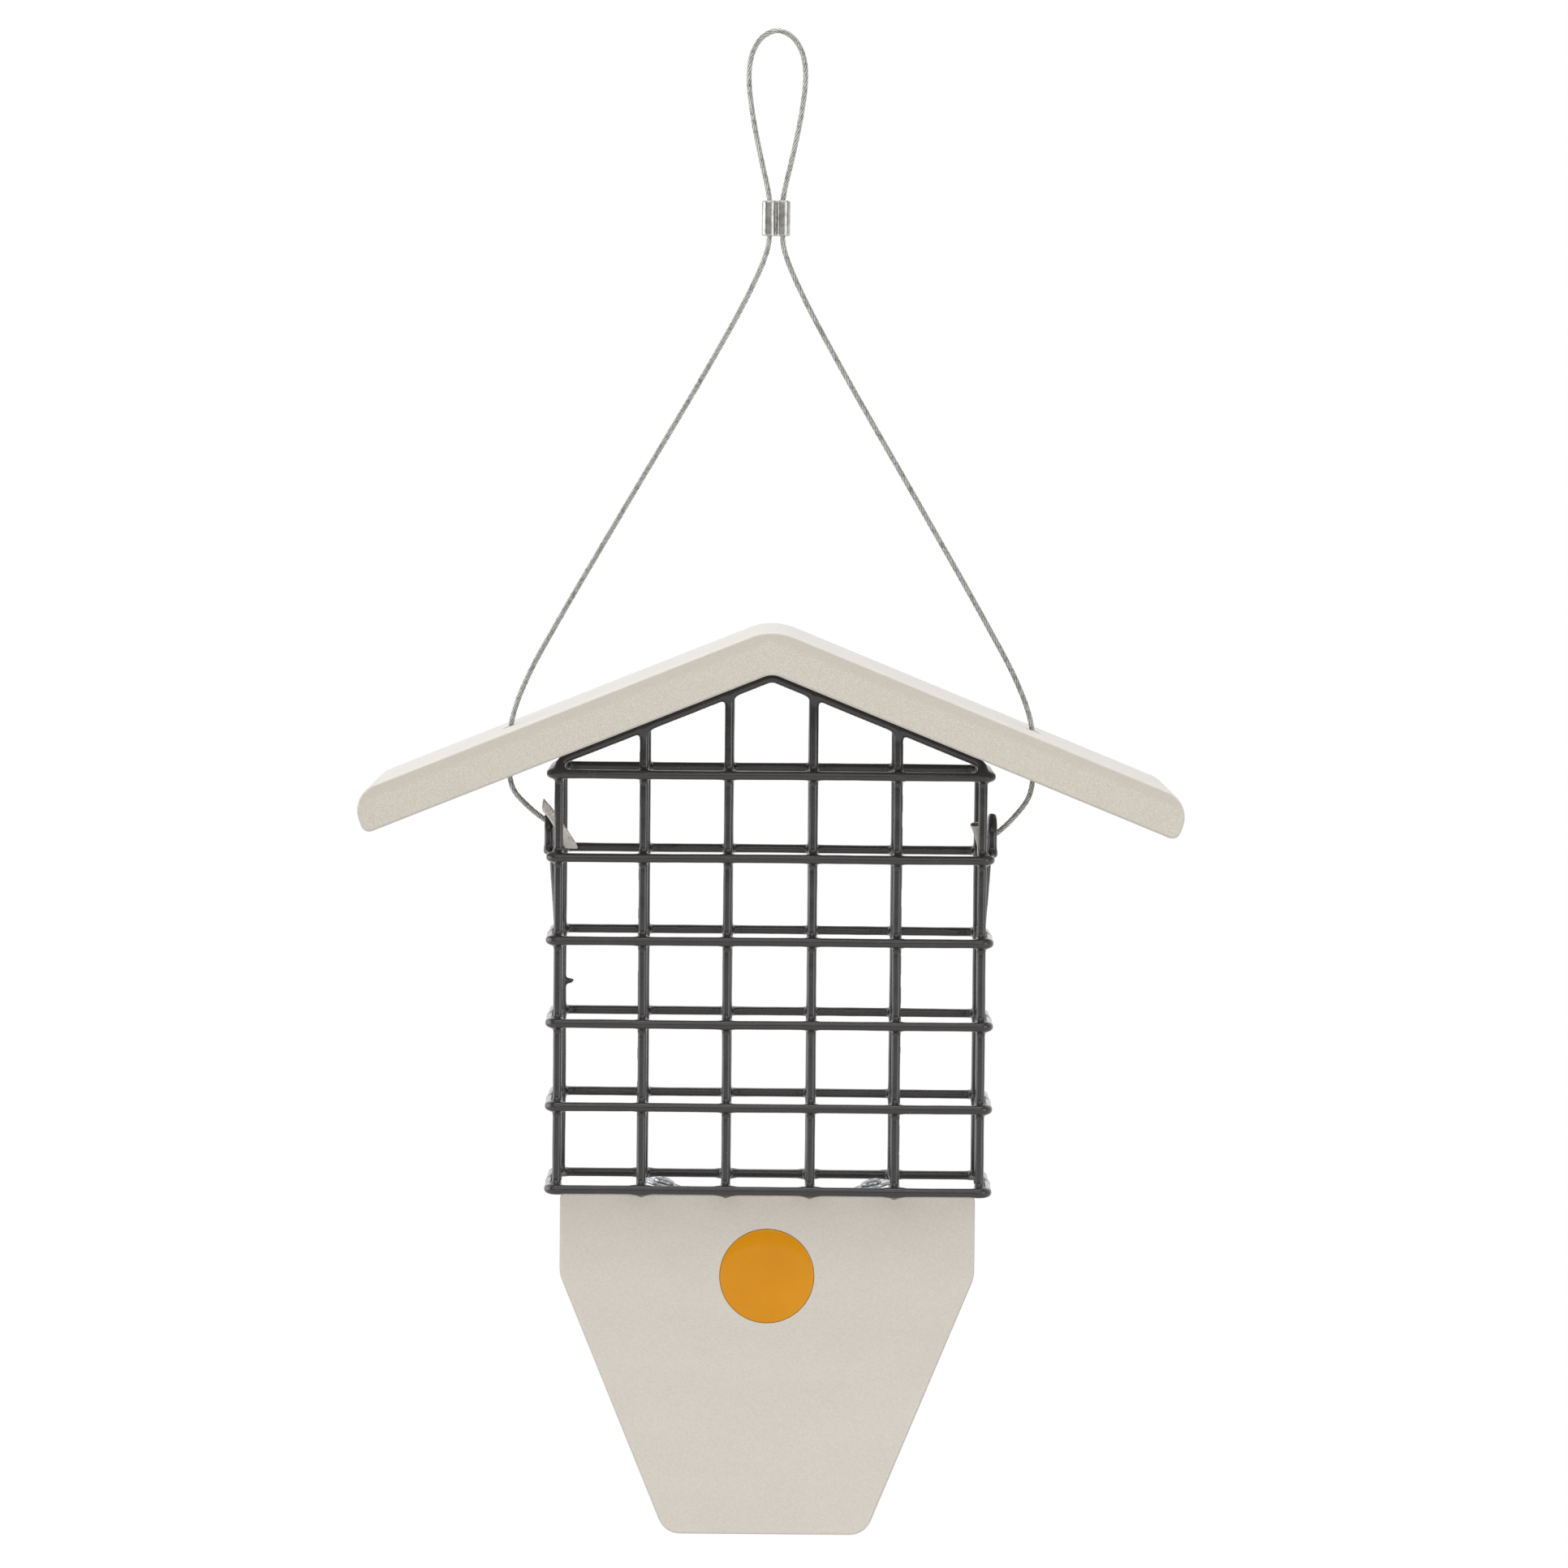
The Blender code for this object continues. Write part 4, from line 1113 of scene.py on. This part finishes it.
# Screws and washers
# Zinc-plated pan-head screws. Each hangs the prop by a washer that leans on a bottom run
# of the cage at one side and on the prop's top at the other.
HEAD_DIAMETER = 0.0064
HEAD_HEIGHT = 0.0016
HEAD_SIDE_SHARE = 0.25
HEAD_LIFT = 0.00005
HEAD_TURN = 0.5
HEAD_FOOT_SHARES = [(0.96, 0.0), (1.0, 0.08), (1.0, HEAD_SIDE_SHARE)]
HEAD_FULLNESS = 0.8
HEAD_ROWS = 9
HEAD_MIDDLE_SHARE = 0.05
SCREW_SIDES = 32
THREAD_PITCH = 0.0017
THREAD_DEPTH = 0.0004
THREAD_NARROWNESS = 3.2
THREAD_STEP = 0.00018
PLAIN_SHANK = 0.002
POINT_LENGTH = 0.004
POINT_SHARE = 0.04
RECESS_DEPTH = 0.0011
RECESS_LENGTH = 0.0034
RECESS_WIDTH = 0.0009
RECESS_SHARES = (0.45, 1.15)
RECESS_TOP = 1.3 * HEAD_HEIGHT
WASHER_DIAMETER = 0.0125
WASHER_BORE = 0.005
WASHER_THICKNESS = 0.001
WASHER_EASING = 0.00022
WASHER_SIDES = 72
SEAT_ROUNDS = 4
ZINC = (198, 200, 203)
ZINC_DULL = (160, 163, 168)


def washer_seat():
    """The tilt and centre of a washer that leans on a bottom run, and its top's height."""
    radius = WASHER_DIAMETER / 2
    wire_x = min((abs(COLUMN_PITCH * i - SIDE_X) for i in range(COLUMN_COUNT)),
                 key=lambda x: abs(x - SCREW_X - radius))
    heel_z = PROP_TOP_Z + RING_GAP
    tilt = 0.0
    for _ in range(SEAT_ROUNDS):
        heel_x = SCREW_X - radius * math.cos(tilt)
        reach = math.hypot(wire_x - heel_x, RUN_Z - heel_z)
        tilt = (math.asin((WIRE_DIAMETER / 2 + RING_GAP) / reach)
                + math.atan2(RUN_Z - heel_z, wire_x - heel_x))
    half = WASHER_THICKNESS / 2
    middle_z = heel_z + radius * math.sin(tilt) + half * math.cos(tilt)
    middle_x = SCREW_X - half * math.sin(tilt)
    head_z = (middle_z + half / math.cos(tilt) + (SCREW_X - middle_x) * math.tan(tilt)
              + HEAD_LIFT)
    return tilt, middle_x, middle_z, head_z


def thread_ring(height):
    """A section of the threaded shank, which narrows to a point at its lower end."""
    taper = min(1, (SHANK_LENGTH + height) / POINT_LENGTH + POINT_SHARE)
    ring = []
    for k, (x, y) in enumerate(circle(1, SCREW_SIDES)):
        phase = (height / THREAD_PITCH - k / SCREW_SIDES) % 1
        crest = max(0, 1 - abs(phase - 0.5) * THREAD_NARROWNESS) if height < -PLAIN_SHANK else 0
        radius = (SHANK_DIAMETER / 2 - THREAD_DEPTH * (1 - crest)) * taper
        ring.append((x * radius, y * radius, height))
    return ring


def cross_recess():
    """The driver's cross, as two tapered blocks."""
    tools = []
    for turn in (0, math.pi / 2):
        rings = []
        for z, share in zip((HEAD_HEIGHT - RECESS_DEPTH, RECESS_TOP), RECESS_SHARES):
            x, y = RECESS_LENGTH / 2 * share, RECESS_WIDTH / 2 * share
            rings.append([(x, -y, z), (x, y, z), (-x, y, z), (-x, -y, z)])
        tool = lofted("recess", rings)
        tool.transform(Matrix.Rotation(turn, 4, "Z"))
        tools.append(tool)
    return tools


def make_screw(name, material, side, tilt, head_z):
    """An upright shank, and a head that bent over to lie flat on the tilted washer."""
    shank = [thread_ring(-SHANK_LENGTH + THREAD_STEP * k)
             for k in range(int((SHANK_LENGTH - WASHER_THICKNESS) / THREAD_STEP))]
    head = HEAD_DIAMETER / 2
    profile = [(SHANK_DIAMETER / 2, 0.0), *((head * x, HEAD_HEIGHT * z)
                                            for x, z in HEAD_FOOT_SHARES)]
    profile += [(head * math.cos(t) ** HEAD_FULLNESS,
                 HEAD_HEIGHT * (HEAD_SIDE_SHARE + (1 - HEAD_SIDE_SHARE) * math.sin(t)))
                for t in (math.pi / 2 * k / HEAD_ROWS for k in range(1, HEAD_ROWS))]
    profile.append((head * HEAD_MIDDLE_SHARE, HEAD_HEIGHT))
    lean = Matrix.Rotation(-side * tilt, 4, "Y")
    rings = shank + [[lean @ Vector((x * r, y * r, z)) for x, y in circle(1, SCREW_SIDES)]
                     for r, z in profile]
    tools = cross_recess()
    for tool in tools:
        tool.transform(lean @ Matrix.Rotation(side * HEAD_TURN, 4, "Z"))
    mesh = cut(lofted("pan_screw", rings), *tools)
    mesh.transform(Matrix.Translation((side * SCREW_X, 0, head_z)))
    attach(dress(f"{name}_pan_screw", mesh, material, "zinc_fixings", f"{name}_prop_screw"),
            "cage")


def make_washer(name, material, side, tilt, middle_x, middle_z):
    bore, rim, half = WASHER_BORE / 2, WASHER_DIAMETER / 2, WASHER_THICKNESS / 2
    profile = [(bore, -half), (rim, -half), (rim, half), (bore, half)]
    rings = [[(x * r, y * r, z) for r, z in reversed(profile)]
             for x, y in circle(1, WASHER_SIDES)]
    mesh = eased(lofted("washer", rings, closed=True), WASHER_EASING)
    mesh.transform(Matrix.Translation((side * middle_x, 0, middle_z))
                   @ Matrix.Rotation(-side * tilt, 4, "Y"))
    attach(dress(f"{name}_flat_washer", mesh, material, "zinc_fixings",
                  f"{name}_prop_washer"), "cage")


def make_fixings():
    material, tree, shader = new_material("zinc_plate", ZINC, Metallic=1.0)
    spangle = patches(tree, mottling, scale=700.0, low=0.38, high=0.66)
    wiped = patches(tree, mottling, scale=2400.0, stretch=(1, 0.2, 1), low=0.3, high=0.7)
    colour = blended(tree, spangle, ZINC, ZINC_DULL)
    surfaced(tree, shader, colour, spangle, smooth=0.16, rough=0.34)
    bumped(tree, shader, wiped, depth=0.00002)
    tilt, middle_x, middle_z, head_z = washer_seat()
    for name, side in (("left", -1), ("right", 1)):
        make_screw(name, material, side, tilt, head_z)
        make_washer(name, material, side, tilt, middle_x, middle_z)


make_fixings()


# Floor, backdrop and lights
# The feeder hangs over a pale floor before a white backdrop, in a room that is dimmer in
# front. It is lit by wide soft boxes above and over the camera and by one at each side.
FLOOR_DROP = 0.15
FLOOR_RADIUS = 6.0
FLOOR_SIDES = 96
SHADOW_REACH = (0.32, 0.8)
FLOOR_COLOUR = (222, 221, 219)
ROOM_LIGHT = 0.5
ROOM_FRONT = 0.22
FRONT_REACH = (-0.35, 0.25)
# Each box is its place, what it faces, its width and height, and its power in watts.
SOFT_BOXES = {
    "top_box": ((0.0, -0.1, 1.15), (0, 0, -0.25), 1.4, 1.2, 14.0),
    "over_camera_box": ((-0.3, -2.0, 1.0), (0, 0, -0.25), 3.0, 1.9, 18.0),
    "right_box": ((1.22, -1.03, 0.05), (0, 0, -0.25), 0.95, 1.2, 6.0),
    "left_box": ((-1.4, 0.05, -0.1), (0, 0, -0.25), 1.3, 1.4, 9.5),
}


def seen_directly(tree):
    """1 for rays from the camera, straight or by way of gloss or glass."""
    path = add_node(tree, "LightPath").outputs
    seen = sum_of(tree, "MAXIMUM", path["Is Camera Ray"], path["Is Glossy Ray"])
    return sum_of(tree, "MAXIMUM", seen, path["Is Transmission Ray"])


def make_floor():
    mesh = bpy.data.meshes.new("studio_floor")
    mesh.from_pydata([(x, y, 0) for x, y in circle(FLOOR_RADIUS, FLOOR_SIDES)], [],
                     [range(FLOOR_SIDES)])
    floor = placed("studio_floor", mesh)
    floor.location.z = cad_box[0].z - FLOOR_DROP
    material, tree, shader = new_material("studio_floor", FLOOR_COLOUR, Roughness=0.9)
    mesh.materials.append(material)
    place = add_node(tree, "TexCoord").outputs["Object"]
    away = add_node(tree, "VectorMath", {0: place}, operation="LENGTH").outputs["Value"]
    far = ramp(tree, away, 0.0, 1.0, *SHADOW_REACH, "SMOOTHSTEP")
    white = add_node(tree, "Emission").outputs[0]
    mixed = add_node(tree, "MixShader", {0: sum_of(tree, "MULTIPLY", far, seen_directly(tree)),
                                         1: shader.outputs[0], 2: white})
    tree.links.new(mixed.outputs[0], tree.nodes["Material Output"].inputs["Surface"])


def make_room():
    """White to the camera and behind the feeder, and dimmer in the gloss towards the front."""
    world = bpy.data.worlds.new("white_room")
    world.use_nodes = True
    tree = world.node_tree
    tree.nodes["Background"].inputs["Color"].default_value = (1, 1, 1, 1)
    way = add_node(tree, "TexCoord").outputs["Generated"]
    back = add_node(tree, "SeparateXYZ", {0: way}).outputs[1]
    shown = ramp(tree, back, ROOM_FRONT, 1.0, *FRONT_REACH, "SMOOTHSTEP")
    camera_ray = add_node(tree, "LightPath").outputs["Is Camera Ray"]
    shown = sum_of(tree, "MAXIMUM", shown, camera_ray)
    level = ramp(tree, seen_directly(tree), ROOM_LIGHT, shown)
    tree.links.new(level, tree.nodes["Background"].inputs["Strength"])
    bpy.context.scene.world = world
    bpy.context.scene.view_settings.view_transform = "Standard"


def make_soft_boxes():
    for name, (place, faced, width, height, power) in SOFT_BOXES.items():
        lamp = bpy.data.lights.new(name, "AREA")
        lamp.shape = "RECTANGLE"
        lamp.size = width
        lamp.size_y = height
        lamp.energy = power
        box = placed(name, lamp)
        box.location = place
        box.rotation_euler = (Vector(faced) - Vector(place)).to_track_quat("-Z", "Y").to_euler()
        box.visible_camera = False


make_floor()
make_room()
make_soft_boxes()
